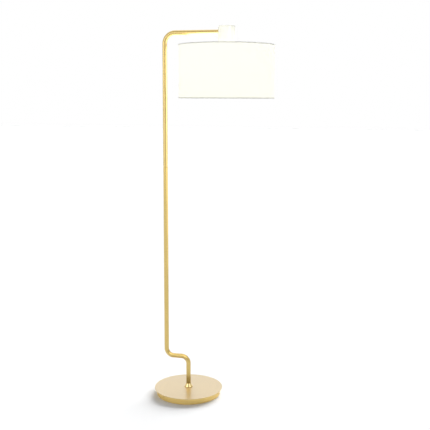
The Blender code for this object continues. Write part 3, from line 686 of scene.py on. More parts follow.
def brass(name, colour, roughness, lines, wear, depth=BRUSH_DEPTH, lacquer=0.2, spin=0.0, along=0.0):
    """Lacquered brass: lines across the unrolled map, and bright rubbed edges.

    spin stretches the highlights of a plate that was brushed on a turntable, and along those of
    a tube that was brushed round and round.
    """
    finish, tree, shader = new_finish(
        name,
        Metallic=1.0,
        Anisotropic=spin or along,
        Coat_Weight=lacquer,
        Coat_Roughness=0.6 * roughness,
    )
    place = object_place(tree)
    across = put(tree, "ShaderNodeSeparateXYZ", {0: unrolled_map(tree)}).outputs["Y"]
    grain = effect(tree, "brushed_grain", {"Place": place, "Across": across, "Lines": lines})
    rubbed = effect(tree, "edge_wear", {"Place": place, "Edge": edge_attribute(tree), "Amount": wear})
    dark, light, bright = shades_of(colour, 0.94, 1.06, 1.14)
    toned = two_tone(tree, grain["Tone"], dark, light, 0.3, 0.7)
    tree.links.new(blend(tree, rubbed["Mask"], toned, bright), shader.inputs["Base Color"])
    spread = span(tree, grain["Tone"], 0.25, 0.75, roughness * 0.88, roughness * 1.14)
    polish = calc(tree, "MULTIPLY", rubbed["Mask"], roughness * 0.25)
    tree.links.new(calc(tree, "SUBTRACT", spread, polish), shader.inputs["Roughness"])
    if spin:
        turn_grooves(tree, shader, 0.0, direction_type="RADIAL", axis="Z")
    if along:
        turn_grooves(tree, shader, 0.25, direction_type="UV_MAP", uv_map="unrolled")
    raise_bumps(tree, shader, grain["Height"], depth)
    return finish


def add_specks(tree, shader, colour, roughness, scale, spot, swing, depth):
    """Faint specks in colour and roughness, and a skin of that depth."""
    speckle = effect(tree, "fine_speckle", {"Place": object_place(tree), "Scale": scale})
    dark, light = shades_of(colour, 1 - spot, 1 + spot / 2)
    tree.links.new(two_tone(tree, speckle["Tone"], dark, light), shader.inputs["Base Color"])
    spread = span(tree, speckle["Tone"], 0.3, 0.7, roughness * (1 - swing[0]), roughness * (1 + swing[1]))
    tree.links.new(spread, shader.inputs["Roughness"])
    raise_bumps(tree, shader, speckle["Height"], depth)


def plain_metal(name, colour, roughness, scale=320.0, spot=0.12):
    """A hidden metal piece: plated steel, cast iron or contact brass with faint spots."""
    finish, tree, shader = new_finish(name, Metallic=1.0)
    add_specks(tree, shader, colour, roughness, scale, spot, (0.2, 0.25), METAL_SKIN)
    return finish


def smooth_coat(name, colour, roughness, scale=500.0, coat=0.0, depth=MOULD_SKIN, spot=0.04):
    """Lacquer, moulded plastic, porcelain or rubber: even, with a faint skin."""
    finish, tree, shader = new_finish(name, Metallic=0.0, Coat_Weight=coat, Coat_Roughness=0.06)
    add_specks(tree, shader, colour, roughness, scale, spot, (0.15, 0.15), depth)
    return finish


def felt(name):
    """Black wool felt: matted fibres with a soft sheen."""
    finish, tree, shader = new_finish(name, Roughness=0.95, Sheen_Weight=0.35, Sheen_Roughness=0.5)
    place = object_place(tree)
    matted = new_noise(tree, place, 900.0, 4.0, Distortion=1.6)
    broad = effect(tree, "fine_speckle", {"Place": place, "Scale": 160.0})
    mixed = calc(tree, "MULTIPLY", calc(tree, "ADD", matted, broad["Tone"]), 0.5)
    toned = two_tone(tree, mixed, (0.010, 0.010, 0.011), (0.034, 0.033, 0.033), 0.38, 0.62)
    tree.links.new(toned, shader.inputs["Base Color"])
    raise_bumps(tree, shader, matted, FELT_NAP)
    return finish


def shade_cloth(name, settings):
    """Lit ivory cloth: the weave darkens and lifts the light that comes through."""
    finish, tree, shader = new_finish(
        name, Roughness=0.88, Sheen_Weight=0.15, Emission_Strength=settings.cloth_lit
    )
    low, high, radius = extent("shade_cover")
    pitch = settings.threads / (2 * math.pi * radius)
    weave = effect(tree, "plain_weave", {"Unrolled": unrolled_map(tree), "Warp": pitch, "Weft": pitch})
    tone = span(tree, weave["Tone"], 0.25, 0.75, 0.0, 1.0)
    dark, light = shades_of(settings.cloth_colour, 0.93, 1.05)
    tree.links.new(blend(tree, tone, dark, light), shader.inputs["Base Color"])
    pale = tuple(settings.cloth_glow)
    warm = tinted(pale, (1.0, 0.99, 0.9))
    upward = span(tree, object_height(tree), low, high, 0.0, 1.0)
    glow = blend(tree, upward, warm, pale)
    behind_threads = tinted(warm, (0.9, 0.9, 0.9))
    tree.links.new(blend(tree, tone, behind_threads, glow), shader.inputs["Emission Color"])
    raise_bumps(tree, shader, weave["Height"], 1.5 * WEAVE_DEPTH)
    return finish


def shade_tape(name):
    """Ivory bias tape, folded over the shade's edges."""
    finish, tree, shader = new_finish(name, Roughness=0.85)
    pitch = {"Unrolled": unrolled_map(tree), "Warp": TAPE_THREADS, "Weft": TAPE_THREADS}
    weave = effect(tree, "plain_weave", pitch)
    toned = two_tone(tree, weave["Tone"], (0.84, 0.84, 0.77), (0.93, 0.93, 0.86), 0.25, 0.75)
    tree.links.new(toned, shader.inputs["Base Color"])
    raise_bumps(tree, shader, weave["Height"], WEAVE_DEPTH)
    return finish


def lit_liner(name, settings):
    """White laminate inside the shade, lit by the bulb."""
    finish, tree, shader = new_finish(name, Roughness=0.55, Emission_Strength=settings.liner_lit)
    speckle = effect(tree, "fine_speckle", {"Place": object_place(tree), "Scale": 260.0})
    laminate = two_tone(tree, speckle["Tone"], (0.86, 0.85, 0.81), (0.93, 0.92, 0.89))
    tree.links.new(laminate, shader.inputs["Base Color"])
    lit = two_tone(tree, speckle["Tone"], (0.92, 0.86, 0.72), (1.0, 0.95, 0.83))
    tree.links.new(lit, shader.inputs["Emission Color"])
    raise_bumps(tree, shader, speckle["Height"], LAMINATE_SKIN)
    return finish


def opal_glow(name, settings):
    """The lit opal globe, brightest round its middle."""
    finish, tree, shader = new_finish(
        name, Roughness=0.25, Base_Color=(0.93, 0.92, 0.88, 1.0), Emission_Strength=settings.glow
    )
    speckle = effect(tree, "fine_speckle", {"Place": object_place(tree), "Scale": 300.0})
    low, high, _ = extent("bulb_globe")
    near = span(tree, object_height(tree), (low + high) / 2, high, 1.0, 0.55)
    tone = calc(tree, "MULTIPLY", near, span(tree, speckle["Tone"], 0.3, 0.7, 0.96, 1.0))
    colour = tuple(settings.glow_colour)
    dim = tinted(colour, (0.5, 0.44, 0.36))
    tree.links.new(blend(tree, tone, dim, colour), shader.inputs["Emission Color"])
    tree.links.new(span(tree, speckle["Tone"], 0.3, 0.7, 0.2, 0.3), shader.inputs["Roughness"])
    return finish


# ---------------------------------------------------------------- base
def make_plate(settings):
    low, high, reach = extent("base_plate")
    edge = settings.plate_edge
    outline = fillet(
        [
            (THREAD_HOLE_R, high, FINE),
            (reach, high, edge),
            (reach, low, edge),
            (THREAD_HOLE_R, low, FINE),
        ]
    )
    finish = brass(
        "brushed_plate_brass",
        settings.plate_colour,
        0.36,
        settings.brush_lines,
        0.45,
        lacquer=1.0,
        spin=0.4,
    )
    fit_out(turned("base_plate_brushed", outline), "stand", "base_plate", finish)


def make_side_ring(settings, inlet_z):
    """The turned-in side under the plate, with the hole for the cord inlet."""
    wall = settings.side_wall
    low, high, reach = extent("base_skirt")
    flange_r = reach - wall - settings.flange_width
    outline = fillet(
        [
            (flange_r, high, BROKEN),
            (reach, high, settings.side_edge),
            (reach, low, CUT),
            (reach - wall, low, CUT),
            (reach - wall, high - wall, settings.side_edge - wall),
            (flange_r, high - wall, BROKEN),
        ]
    )
    ring = turned("base_side_ring", outline)
    start = (0, reach - DRILL_RUN, inlet_z)
    drill(ring, start, (0, reach + DRILL_RUN, inlet_z), INLET_BARREL_R + WALL_GAP)
    # Painted light: this brass is brighter than the stem's, to stand in for light falling on the side.
    finish = brass("brushed_side_brass_painted_bright", settings.side_colour_painted_bright, 0.5, settings.brush_lines, 0.5)
    fit_out(ring, "stand", "base_skirt", finish)


def make_pad():
    _, high, reach = extent("base_pad")
    rim = [(reach, high, 0.0005), (reach, 0.0, 0.0007)]
    outline = fillet([(0.0, high, 0), *rim, (0.0, 0.0, 0)], closed=False)
    pad = turned("base_felt_pad", outline, closed=False)
    fit_out(pad, "stand", "base_pad", felt("black_wool_felt"))


def make_inlet(low, high):
    """The bush that the cord goes in by, turned about the way it points."""
    lip_r = (high.x - low.x) / 2
    length = high.y - low.y
    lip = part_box("base_skirt")[1].y + WALL_GAP - low.y
    outline = fillet(
        [
            (INLET_BORE_R, length, EASED),
            (lip_r, length, 0.0009),
            (lip_r, lip, BROKEN),
            (INLET_BARREL_R, lip, CRISP),
            (INLET_BARREL_R, 0.0, BROKEN),
            (INLET_BORE_R, 0.0, BROKEN),
        ]
    )
    inlet = turned("cord_inlet_bush", outline, segments=TURNS_SMALL)
    place = Matrix.Translation((0, low.y, (low.z + high.z) / 2))
    inlet.data.transform(place @ Matrix.Rotation(-math.pi / 2, 4, "X"))
    black = (0.020, 0.020, 0.021)
    finish = smooth_coat("black_moulded_plastic", black, 0.42, depth=METAL_SKIN, spot=0.2)
    fit_out(inlet, "stand", "cord_inlet", finish)


def make_ferrule(settings):
    low, high, reach = extent("ferrule")
    bore = TUBE_R + WALL_GAP
    outline = fillet(
        [
            (bore, high, CRISP),
            (bore + FERRULE_LIP, high, BROKEN),
            (reach, low + FERRULE_FOOT, 0.0012),
            (reach - CUT, low, BROKEN),
            (bore, low, FINE),
        ]
    )
    finish = brass(
        "polished_brass", settings.ferrule_colour, 0.13, 5200.0, 0.5, POLISH_DEPTH, lacquer=1.0
    )
    fit_out(turned("stem_ferrule", outline), "stand", "ferrule", finish)


def make_base(settings):
    inlet_low, inlet_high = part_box("cord_inlet")
    make_plate(settings)
    make_side_ring(settings, (inlet_low.z + inlet_high.z) / 2)
    make_pad()
    make_inlet(inlet_low, inlet_high)
    make_ferrule(settings)


# ---------------------------------------------------------------- stem
def make_stem(settings):
    bore = TUBE_R - settings.tube_wall
    cup_r = outer_r("head_cup") + WALL_GAP
    jog_z = settings.jog_height
    lower = bent_path(
        [(0, 0, low_z("stem_lower")), (0, 0, jog_z), (POST_X, 0, jog_z), (POST_X, 0, SEAM_LOW)],
        [settings.jog_bend, settings.jog_bend],
    )
    upper = bent_path(
        [(POST_X, 0, SEAM_HIGH), (POST_X, 0, HEAD_Z), (HEAD_X - cup_r, 0, HEAD_Z)], [settings.arm_bend]
    )

    def cope(point):
        """Moves the arm's end onto the cup's round side."""
        reach = math.sqrt(cup_r**2 - point.y**2)
        return Vector((point.x + cup_r - reach, point.y, point.z))

    for level, path, shape_end, roughness, lacquer, along in (
        ("lower", lower, None, 0.2, 0.3, 0.5),
        ("upper", upper, cope, 0.3, 0.8, 0.9),
    ):
        tube = swept(
            f"stem_{level}_tube",
            path,
            Vector((0, 1, 0)),
            TUBE_R,
            TURNS_TUBE,
            bore=bore,
            end_edge=settings.end_edge,
            shape_end=shape_end,
        )
        finish = brass(
            f"satin_{level}_brass",
            settings.brass_colour,
            roughness,
            3400.0,
            0.4,
            POLISH_DEPTH,
            lacquer=lacquer,
            along=along,
        )
        fit_out(tube, "stand", f"stem_{level}", finish)


# ---------------------------------------------------------------- head cup
def make_cup(settings):
    low, high, reach = extent("head_cup")
    wall = settings.cup_wall
    outline = fillet(
        [
            (0.0, high, 0),
            (reach, high, settings.cup_edge),
            (reach, low, CUT),
            (reach - wall, low, CUT),
            (reach - wall, high - wall, settings.cup_edge - wall),
            (0.0, high - wall, 0),
        ],
        closed=False,
        steps=8,
    )
    cup = turned("head_cup_lacquered", outline, x=HEAD_X, closed=False)
    outside = (HEAD_X - reach - 0.004, 0, HEAD_Z)
    drill(cup, outside, (HEAD_X - reach / 2, 0, HEAD_Z), THREAD_HOLE_R)
    finish = smooth_coat(
        "ivory_lacquer", settings.lacquer_colour, 0.28, coat=0.5, depth=LACQUER_SKIN, spot=0.02
    )
    fit_out(cup, "stand", "head_cup", finish)


# ---------------------------------------------------------------- lampholder
def wall_rows(r, start, end, rows):
    """Points along a plain wall from one height to another, close enough to carry a thread."""
    return [(r, start - (start - end) * i / rows, 0.0) for i in range(rows + 1)]


def make_holder_cap(white):
    low, high, reach = extent("holder_cap")
    wall = HOLDER_WALL
    neck_low = high - NECK_H
    shoulder = neck_low - DOME_H
    outline = fillet(
        [
            (THREAD_HOLE_R, high, BROKEN),
            (NECK_R, high, SOFT),
            (NECK_R, neck_low, SOFT),
            (reach - DOME_INSET, neck_low - DOME_INSET, 0.002),
            (reach, shoulder, 0.002),
            (reach, low, CUT),
            (reach - wall, low, CUT),
            (reach - wall, shoulder - wall / 2, 0.001),
            (reach - DOME_INSET - wall, neck_low - DOME_INSET - wall, 0.001),
            (NECK_R, neck_low - wall, 0.0005),
            (THREAD_HOLE_R, neck_low - wall, BROKEN),
        ]
    )
    cap = turned("holder_cap_moulded", outline, x=HEAD_X, segments=TURNS_SMALL)
    fit_out(cap, "stand", "holder_cap", white)


def make_holder_skirt(settings, white):
    """The threaded skirt, with the flange that the shade's spider is clamped to."""
    low, high, flange_r = extent("holder_skirt")
    bore = outer_r("holder_screw_shell") + WALL_GAP
    reach = outer_r("holder_cap")
    spigot_r = reach - HOLDER_WALL - WALL_GAP
    spigot_low = low_z("holder_cap") - WALL_GAP
    seat = (high_z("shade_clamp_ring") + low_z("shade_spider")) / 2 + 0.0015
    outline = (
        [(bore, high, 0.0), (spigot_r, high, 0.0), (spigot_r, spigot_low, 0.0), (reach, spigot_low, 0.0)]
        + [(reach, seat + FLANGE_T, 0.0), (flange_r, seat + FLANGE_T, 0.0), (flange_r, seat, 0.0)]
        + wall_rows(reach, seat - CUT, low + EASED, 60)
        + [(reach - EASED, low, 1.0), (bore, low, 0.0)]
    )

    def threaded(r, z, angle):
        on_thread = abs(r - reach) < 0.00001 and z < seat
        return r - RING_THREAD * screw_wave(z, angle, settings.ring_pitch) if on_thread else r

    skirt = turned(
        "holder_skirt_threaded", outline, x=HEAD_X, segments=TURNS_SMALL, reshape=threaded
    )
    fit_out(skirt, "stand", "holder_skirt", white)


def make_clamp_ring(settings, white):
    low, high, ring_r = extent("shade_clamp_ring")
    inner = outer_r("holder_cap") + WALL_GAP
    outline = wall_rows(inner, low, high, 24) + [
        (ring_r - SOFT, high, 0.0),
        (ring_r, high - SOFT, 1.0),
        (ring_r, low + SOFT, 1.0),
        (ring_r - SOFT, low, 0.0),
    ]

    def grip(r, z, angle):
        """Ribs on the outside, and the lampholder's thread on the inside."""
        if r > ring_r - 0.001:
            return r - RIB_DEPTH * (0.5 + 0.5 * math.cos(settings.ring_ribs * angle)) ** 3
        return r - RING_THREAD * screw_wave(z, angle, settings.ring_pitch)

    ring = turned(
        "shade_clamp_ring_ribbed", outline, x=HEAD_X, segments=6 * settings.ring_ribs, reshape=grip
    )
    fit_out(ring, "stand", "shade_clamp_ring", white)


def make_screw_shell(bulb):
    low, high, reach = extent("holder_screw_shell")
    outer = wall_rows(reach, high, low, THREAD_ROWS)
    inner = [(reach - SHELL_T, z, 0.0) for _, z, _ in reversed(outer)]

    def rolled(r, z, angle):
        return r - bulb.thread_depth * screw_wave(z, angle, bulb.thread_pitch)

    shell = turned(
        "holder_screw_shell_rolled", outer + inner, x=HEAD_X, segments=TURNS_SMALL, reshape=rolled
    )
    finish = plain_metal("contact_brass", CONTACT_BRASS, 0.28)
    fit_out(shell, "stand", "holder_screw_shell", finish)


def make_lampholder(settings, bulb):
    white = smooth_coat("white_moulded_plastic", (0.80, 0.79, 0.75), 0.38, depth=LAMINATE_SKIN)
    make_holder_cap(white)
    make_holder_skirt(settings, white)
    make_clamp_ring(settings, white)
    make_screw_shell(bulb)


# ---------------------------------------------------------------- bulb
def make_screw_cap(settings, metal):
    pitch, depth = settings.thread_pitch, settings.thread_depth
    low, high, reach = extent("bulb_cap")
    mouth_r = outer_r("bulb_insulator") - 0.002
    shoulder_r = reach - 0.0015
    shell_top = high - 0.002
    outer = wall_rows(reach, shell_top, low, THREAD_ROWS)
    inner = [(reach - CAP_WALL, z, 0.0) for _, z, _ in reversed(outer)]
    outline = (
        [(mouth_r, high, 0.0), (shoulder_r, high, 1.0)]
        + outer
        + inner
        + [(shoulder_r - CAP_WALL / 2, high - CAP_WALL, 0.0), (mouth_r, high - CAP_WALL, 0.0)]
    )

    def rolled(r, z, angle):
        """The thread fades out at the cap's plain rim and under its shoulder."""
        if z > shell_top or r < reach - CAP_WALL - 0.0001:
            return r
        strength = min(1.0, (z - low) / THREAD_FADE, (shell_top - z) / THREAD_FADE)
        return r - depth * (1 - strength + strength * screw_wave(z, angle, pitch))

    cap = turned("bulb_screw_cap", outline, x=HEAD_X, segments=TURNS_SMALL, reshape=rolled)
    fit_out(cap, "bulb", "bulb_cap", metal)


def make_bulb_tip(metal):
    """The centre contact and the glass that holds it, which slide but don't turn."""
    glassy = smooth_coat("black_glass_insulator", (0.012, 0.011, 0.014), 0.08)
    tip_r = outer_r("bulb_contact")
    for name, node, top_r, top_edge, foot_edge, slot, finish in (
        ("bulb_centre_contact", "bulb_contact", tip_r, 0.0009, FINE, "bulb_metal", metal),
        ("bulb_glass_insulator", "bulb_insulator", tip_r + WALL_GAP, CUT, 0.0005, "black_plastic", glassy),
    ):
        low, high, reach = extent(node)
        rim = [(top_r, high, top_edge), (reach, low, foot_edge)]
        outline = fillet([(0.0, high, 0), *rim, (0.0, low, 0)], closed=False)
        piece = turned(name, outline, x=HEAD_X, segments=TURNS_SMALL, closed=False)
        fit_out(piece, "bulb_tip", node, finish)


def make_globe(settings):
    """The opal globe, open at the top. Gives the radius of its mouth."""
    low, join, _ = extent("bulb_globe")
    radius = settings.globe_radius
    centre = low + radius
    open_at = math.asin((join - centre) / radius)
    steps = 40
    sweep = [-math.pi / 2 + (open_at + math.pi / 2) * i / steps for i in range(steps + 1)]

    def bowl(r):
        return [(r * math.cos(a), centre + r * math.sin(a), 0.0) for a in sweep]

    inner, outer = bowl(radius - GLOBE_WALL), bowl(radius)[::-1]
    inner[0] = (0.0, low + GLOBE_WALL, 0.0)
    inner[-1] = (inner[-1][0], join, 0.0)
    outer[-1] = (0.0, low, 0.0)
    globe = turned("bulb_opal_globe", inner + outer, x=HEAD_X, segments=TURNS_SMALL, closed=False)
    fit_out(globe, "bulb", "bulb_globe", opal_glow("opal_globe", settings))
    return radius * math.cos(open_at)


def make_housing(settings, join_r):
    """The moulded body between cap and globe."""
    join = high_z("bulb_globe")
    cap_low, cap_r = low_z("bulb_cap"), outer_r("bulb_cap")
    shell_r = cap_r - CAP_WALL - settings.thread_depth - WALL_GAP
    wall = HOUSING_WALL
    neck_z = cap_low - 0.010
    outline = fillet(
        [
            (shell_r - wall, cap_low + 0.004, BROKEN),
            (shell_r, cap_low + 0.004, BROKEN),
            (shell_r, cap_low - WALL_GAP, CRISP),
            (cap_r, cap_low - WALL_GAP, EASED),
            (cap_r + wall, neck_z, 0.006),
            (join_r - 0.002, join + 0.006, 0.004),
            (join_r, join + WALL_GAP, CUT),
            (join_r - 2 * wall, join + WALL_GAP, CUT),
            (cap_r - wall, neck_z, 0.003),
            (shell_r - wall, cap_low - wall, 0.001),
        ]
    )
    housing = turned("bulb_housing_moulded", outline, x=HEAD_X, segments=TURNS_SMALL)
    white = smooth_coat("bulb_white_plastic", (0.82, 0.81, 0.78), 0.35)
    fit_out(housing, "bulb", "bulb_housing", white)


def make_bulb(settings):
    metal = plain_metal("bulb_cap_nickel", (0.72, 0.71, 0.69), 0.22)
    make_screw_cap(settings, metal)
    make_bulb_tip(metal)
    make_housing(settings, make_globe(settings))


# ---------------------------------------------------------------- shade
def make_cover(settings):
    """The cloth, with its glued lap at the back. Gives it and its cut size."""
    low, high, reach = extent("shade_cover")
    main_r = reach - LAP_RISE
    half_lap = settings.lap_width / 2 / reach
    edge_angle = LAP_EDGE / reach
    inside = main_r - settings.cloth_t
    outline = [(inside, high, 0.0), (main_r, high, 0.0), (main_r, low, 0.0), (inside, low, 0.0)]

    def lapped(r, z, angle):
        """The cloth lies double for a lap's width at the back."""
        if r < main_r - settings.cloth_t / 2:
            return r
        off = abs(angle - math.pi / 2)
        return r + LAP_RISE * max(0.0, min(1.0, (half_lap + edge_angle - off) / edge_angle))

    cover = turned("shade_cloth_cover", outline, x=HEAD_X, segments=TURNS_CLOTH, reshape=lapped)
    cloth = shade_cloth("ivory_shade_cloth", settings)
    fit_out(cover, "shade", "shade_cover", cloth)
    return cover, (2 * math.pi * main_r + settings.lap_width, high - low)


def make_liner(settings):
    low, high, reach = extent("shade_liner")
    inside = reach - 0.0005
    outline = [(inside, high, 0.0), (reach, high, 0.0), (reach, low, 0.0), (inside, low, 0.0)]
    liner = turned("shade_laminate_liner", outline, x=HEAD_X)
    fit_out(liner, "shade", "shade_liner", lit_liner("white_laminate", settings))


def make_tape(node, edge, sign, wire_inner, finish):
    """A tape folded over an edge of the shade, sign being 1 at the top and -1 at the bottom."""
    low, high, reach = extent(node)
    leg_end = edge - sign * (high - low)
    web = edge - sign * TAPE_T
    inner_end = web - sign * (RING_WIRE_R + WALL_GAP)
    corners = [
        (wire_inner - TAPE_T, edge, CUT),
        (reach, edge, CUT),
        (reach, leg_end, FINE),
        (reach - TAPE_T, leg_end, FINE),
        (reach - TAPE_T, web, 0.0),
        (wire_inner, web, 0.0),
        (wire_inner, inner_end, FINE),
        (wire_inner - TAPE_T, inner_end, FINE),
    ]
    tape = turned(f"{node}_tape", fillet(corners, steps=3), x=HEAD_X)
    return fit_out(tape, "shade", node, finish)


def make_wire_ring(node, finish):
    wire_r = (high_z(node) - low_z(node)) / 2
    middle_r = outer_r(node) - wire_r
    middle_z = low_z(node) + wire_r
    angles = [2 * math.pi * i / TURNS_WIRE for i in range(TURNS_WIRE)]
    outline = [
        (middle_r + wire_r * math.cos(a), middle_z + wire_r * math.sin(a), 0.0) for a in angles
    ]
    ring = turned(f"{node}_wire", outline, x=HEAD_X)
    fit_out(ring, "shade", node, finish)


def make_spider(settings, finish):
    """The ring that is clamped to the lampholder, with three bent spokes welded to it."""
    hole_r = outer_r("holder_cap") + 0.0005
    seat_r = outer_r("shade_clamp_ring") + EASED + SPOKE_LAP
    low = low_z("shade_spider")
    top = low + SPIDER_T
    outline = [(hole_r, top, FINE), (seat_r, top, BROKEN), (seat_r, low, BROKEN), (hole_r, low, FINE)]
    spider = turned("shade_spider_frame", fillet(outline), x=HEAD_X, segments=TURNS_SMALL)
    wire_r = settings.wire_r
    level = low + SPIDER_T / 2
    start_r = seat_r - SPOKE_LAP + CUT
    flat_r = outer_r("head_cup") + SPOKE_FLAT
    weld_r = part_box("shade_spider")[1].y
    rim_z = high_z("shade_spider") - wire_r
    for i in range(SPOKES):
        turn = 2 * math.pi * i / SPOKES + math.pi / 2
        way = Vector((math.cos(turn), math.sin(turn), 0))
        side = Vector((-math.sin(turn), math.cos(turn), 0))
        corners = [
            Vector((HEAD_X, 0, 0)) + way * r + Vector((0, 0, z))
            for r, z in ((start_r, level), (flat_r, level), (weld_r, rim_z))
        ]
        path = bent_path(corners, [settings.spoke_bend], steps=10)
        spoke = swept(f"spoke_{i}", path, side, wire_r, TURNS_WIRE, end_edge=BROKEN)
        combine(spider, spoke, "UNION")
    fit_out(spider, "shade", "shade_spider", finish)


def make_shade(settings):
    cover, cut = make_cover(settings)
    make_liner(settings)
    tape = shade_tape("ivory_bias_tape")
    wire_inner = outer_r("shade_top_ring") - 2 * RING_WIRE_R - WALL_GAP
    top, bottom = "shade_trim_top", "shade_trim_bottom"
    trims = [
        make_tape(top, high_z(top), 1, wire_inner, tape),
        make_tape(bottom, low_z(bottom), -1, wire_inner, tape),
    ]
    white_wire = smooth_coat("white_coated_wire", (0.80, 0.79, 0.76), 0.35)
    for node in ("shade_top_ring", "shade_bottom_ring"):
        make_wire_ring(node, white_wire)
    make_spider(settings, white_wire)


# ---------------------------------------------------------------- inner parts that keep their frame shape
INNER_PARTS = {
    "zinc_steel": ["foot_washer", "foot_lock_washer", "foot_nut", "foot_nipple", "foot_bush"]
    + ["joiner_nipple", "joiner_bush_lower", "joiner_bush_upper", "arm_bush", "arm_nipple"]
    + ["head_block", "holder_nipple", "holder_nut", "terminal_screw_live", "terminal_screw_neutral"],
    "contact_brass": ["centre_contact", "side_contact"],
    "cast_iron": ["base_ballast"],
    "black_plastic": ["inner_flex"],
    "core_insulation": ["core_live", "core_neutral"],
    "porcelain": ["holder_insert"],
    "bulb_board": ["bulb_led_board"],
}


def inner_finishes():
    """The finish of each material slot that the inner parts use."""
    iron = (0.16, 0.16, 0.17)
    rubber = (0.022, 0.022, 0.023)
    glaze = (0.84, 0.83, 0.79)
    return {
        "zinc_steel": plain_metal("zinc_plated_steel", (0.62, 0.63, 0.64), 0.32),
        "contact_brass": plain_metal("contact_brass_strip", CONTACT_BRASS, 0.26),
        "cast_iron": plain_metal("grey_cast_iron", iron, 0.62, scale=260.0, spot=0.3),
        "black_plastic": smooth_coat("black_lead_sheath", rubber, 0.5, depth=METAL_SKIN, spot=0.2),
        "core_insulation": smooth_coat("core_sheath", (0.30, 0.17, 0.10), 0.4, spot=0.1),
        "porcelain": smooth_coat("glazed_porcelain", glaze, 0.15, coat=0.6),
        "bulb_board": smooth_coat("board_white", (0.78, 0.78, 0.76), 0.4),
    }


def finish_inner_parts():
    finishes = inner_finishes()
    for slot, nodes in INNER_PARTS.items():
        for node in nodes:
            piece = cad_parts[node]
            for holder in piece.material_slots:
                holder.material = finishes[slot]


# ---------------------------------------------------------------- stage
def panel_light(name, centre, target, size, radiance, disc=False, linked=None, unseen_by="camera"):
    """A soft panel of that radiance, which the camera doesn't see.

    linked are the pieces that it lights, if not all. unseen_by is a kind of ray that misses it.
    """
    data = bpy.data.lights.new(name, "AREA")
    data.shape = "ELLIPSE" if disc else "RECTANGLE"
    data.size, data.size_y = size
    area = size[0] * size[1] * (math.pi / 4 if disc else 1.0)
    data.energy = radiance * math.pi * area
    light = bpy.data.objects.new(name, data)
    light.location = centre
    light.rotation_euler = (Vector(target) - Vector(centre)).to_track_quat("-Z", "Y").to_euler()
    light.visible_camera = False
    setattr(light, f"visible_{unseen_by}", False)
    bpy.context.scene.collection.objects.link(light)
    if linked:
        light_only(light, linked)


def light_only(light, pieces):
    """Keeps a light on these pieces alone."""
    group = bpy.data.collections.new(f"lit_by_{light.name}")
    for piece in pieces:
        group.objects.link(piece)
    light.light_linking.receiver_collection = group


def make_sun(name, way, energy, angle, pieces):
    """A sun on these pieces alone, which reflections don't show."""
    data = bpy.data.lights.new(name, "SUN")
    data.angle = angle
    data.energy = energy
    sun = bpy.data.objects.new(name, data)
    sun.rotation_euler = Vector(way).to_track_quat("Z", "Y").to_euler()
    sun.visible_glossy = False
    bpy.context.scene.collection.objects.link(sun)
    light_only(sun, pieces)
    return sun


def pieces_named(*starts):
    return [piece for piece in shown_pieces() if piece.name.startswith(starts)]


def make_world(settings):
    """A pale studio: white to the eye, softer as light, and darker in front in reflections."""
    world = bpy.data.worlds.new("pale_studio")
    bpy.context.scene.world = world
    world.use_nodes = True
    tree = world.node_tree
    tree.nodes.clear()
    path = put(tree, "ShaderNodeLightPath").outputs
    way = put(tree, "ShaderNodeTexCoord").outputs["Generated"]
    facing = put(tree, "ShaderNodeVectorMath", {0: way, 1: TOWARD_BACK}, operation="DOT_PRODUCT")
    upward = put(tree, "ShaderNodeSeparateXYZ", {0: way}).outputs["Z"]
    dimmer = settings.surround - settings.surround_front
    in_front = span(tree, facing.outputs["Value"], 0.05, 0.5, dimmer, 0.0)
    dimmed = calc(tree, "MULTIPLY", in_front, span(tree, upward, 0.04, 0.22, 0.0, 1.0))
    overhead = span(tree, upward, 0.5, 0.85, 0.0, settings.overhead)
    reflected = calc(tree, "ADD", calc(tree, "SUBTRACT", settings.surround, dimmed), overhead)
    unseen = {0: path["Is Glossy Ray"], 2: settings.ambient, 3: reflected}
    unseen = put(tree, "ShaderNodeMix", unseen, data_type="FLOAT").outputs[0]
    seen = {0: path["Is Camera Ray"], 2: unseen, 3: 1.0}
    strength = put(tree, "ShaderNodeMix", seen, data_type="FLOAT").outputs[0]
    tint = blend(tree, path["Is Diffuse Ray"], (1.0, 1.0, 1.0), SHADOW_TINT)
    background = put(tree, "ShaderNodeBackground", {"Color": tint, "Strength": strength})
    output = put(tree, "ShaderNodeOutputWorld")
    tree.links.new(background.outputs[0], output.inputs["Surface"])


def make_floor(settings):
    """A plain pale floor, clear from below so that the lamp can be looked at from there."""
    mesh = bpy.data.meshes.new("studio_floor")
    bm = bmesh.new()
    bmesh.ops.create_grid(bm, x_segments=1, y_segments=1, size=FLOOR_HALF)
    bm.to_mesh(mesh)
    bm.free()
    floor = bpy.data.objects.new("studio_floor", mesh)
    bpy.context.scene.collection.objects.link(floor)
    finish, tree, shader = new_finish("pale_floor", Roughness=0.9, Specular_IOR_Level=0.0)
    broad = new_noise(tree, object_place(tree), 0.4, 2.0)
    dark, light = shades_of(settings.floor_colour, 0.995, 1.005)
    tree.links.new(blend(tree, broad, dark, light), shader.inputs["Base Color"])
    below = put(tree, "ShaderNodeNewGeometry").outputs["Backfacing"]
    tree.links.new(calc(tree, "SUBTRACT", 1.0, below), shader.inputs["Alpha"])
    mesh.materials.append(finish)
    floor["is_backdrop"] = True
    return floor


def make_camera():
    data = bpy.data.cameras.new("view")
    data.sensor_width = 36.0
    data.lens = CAMERA_LENS
    camera = bpy.data.objects.new("view", data)
    camera.location = CAMERA_PLACE
    level = Matrix.Rotation(CAMERA_YAW, 4, "Z") @ Matrix.Rotation(math.pi / 2 - CAMERA_DIP, 4, "X")
    camera.rotation_euler = (level @ Matrix.Rotation(CAMERA_TILT, 4, "Z")).to_euler()
    bpy.context.scene.collection.objects.link(camera)
    bpy.context.scene.camera = camera


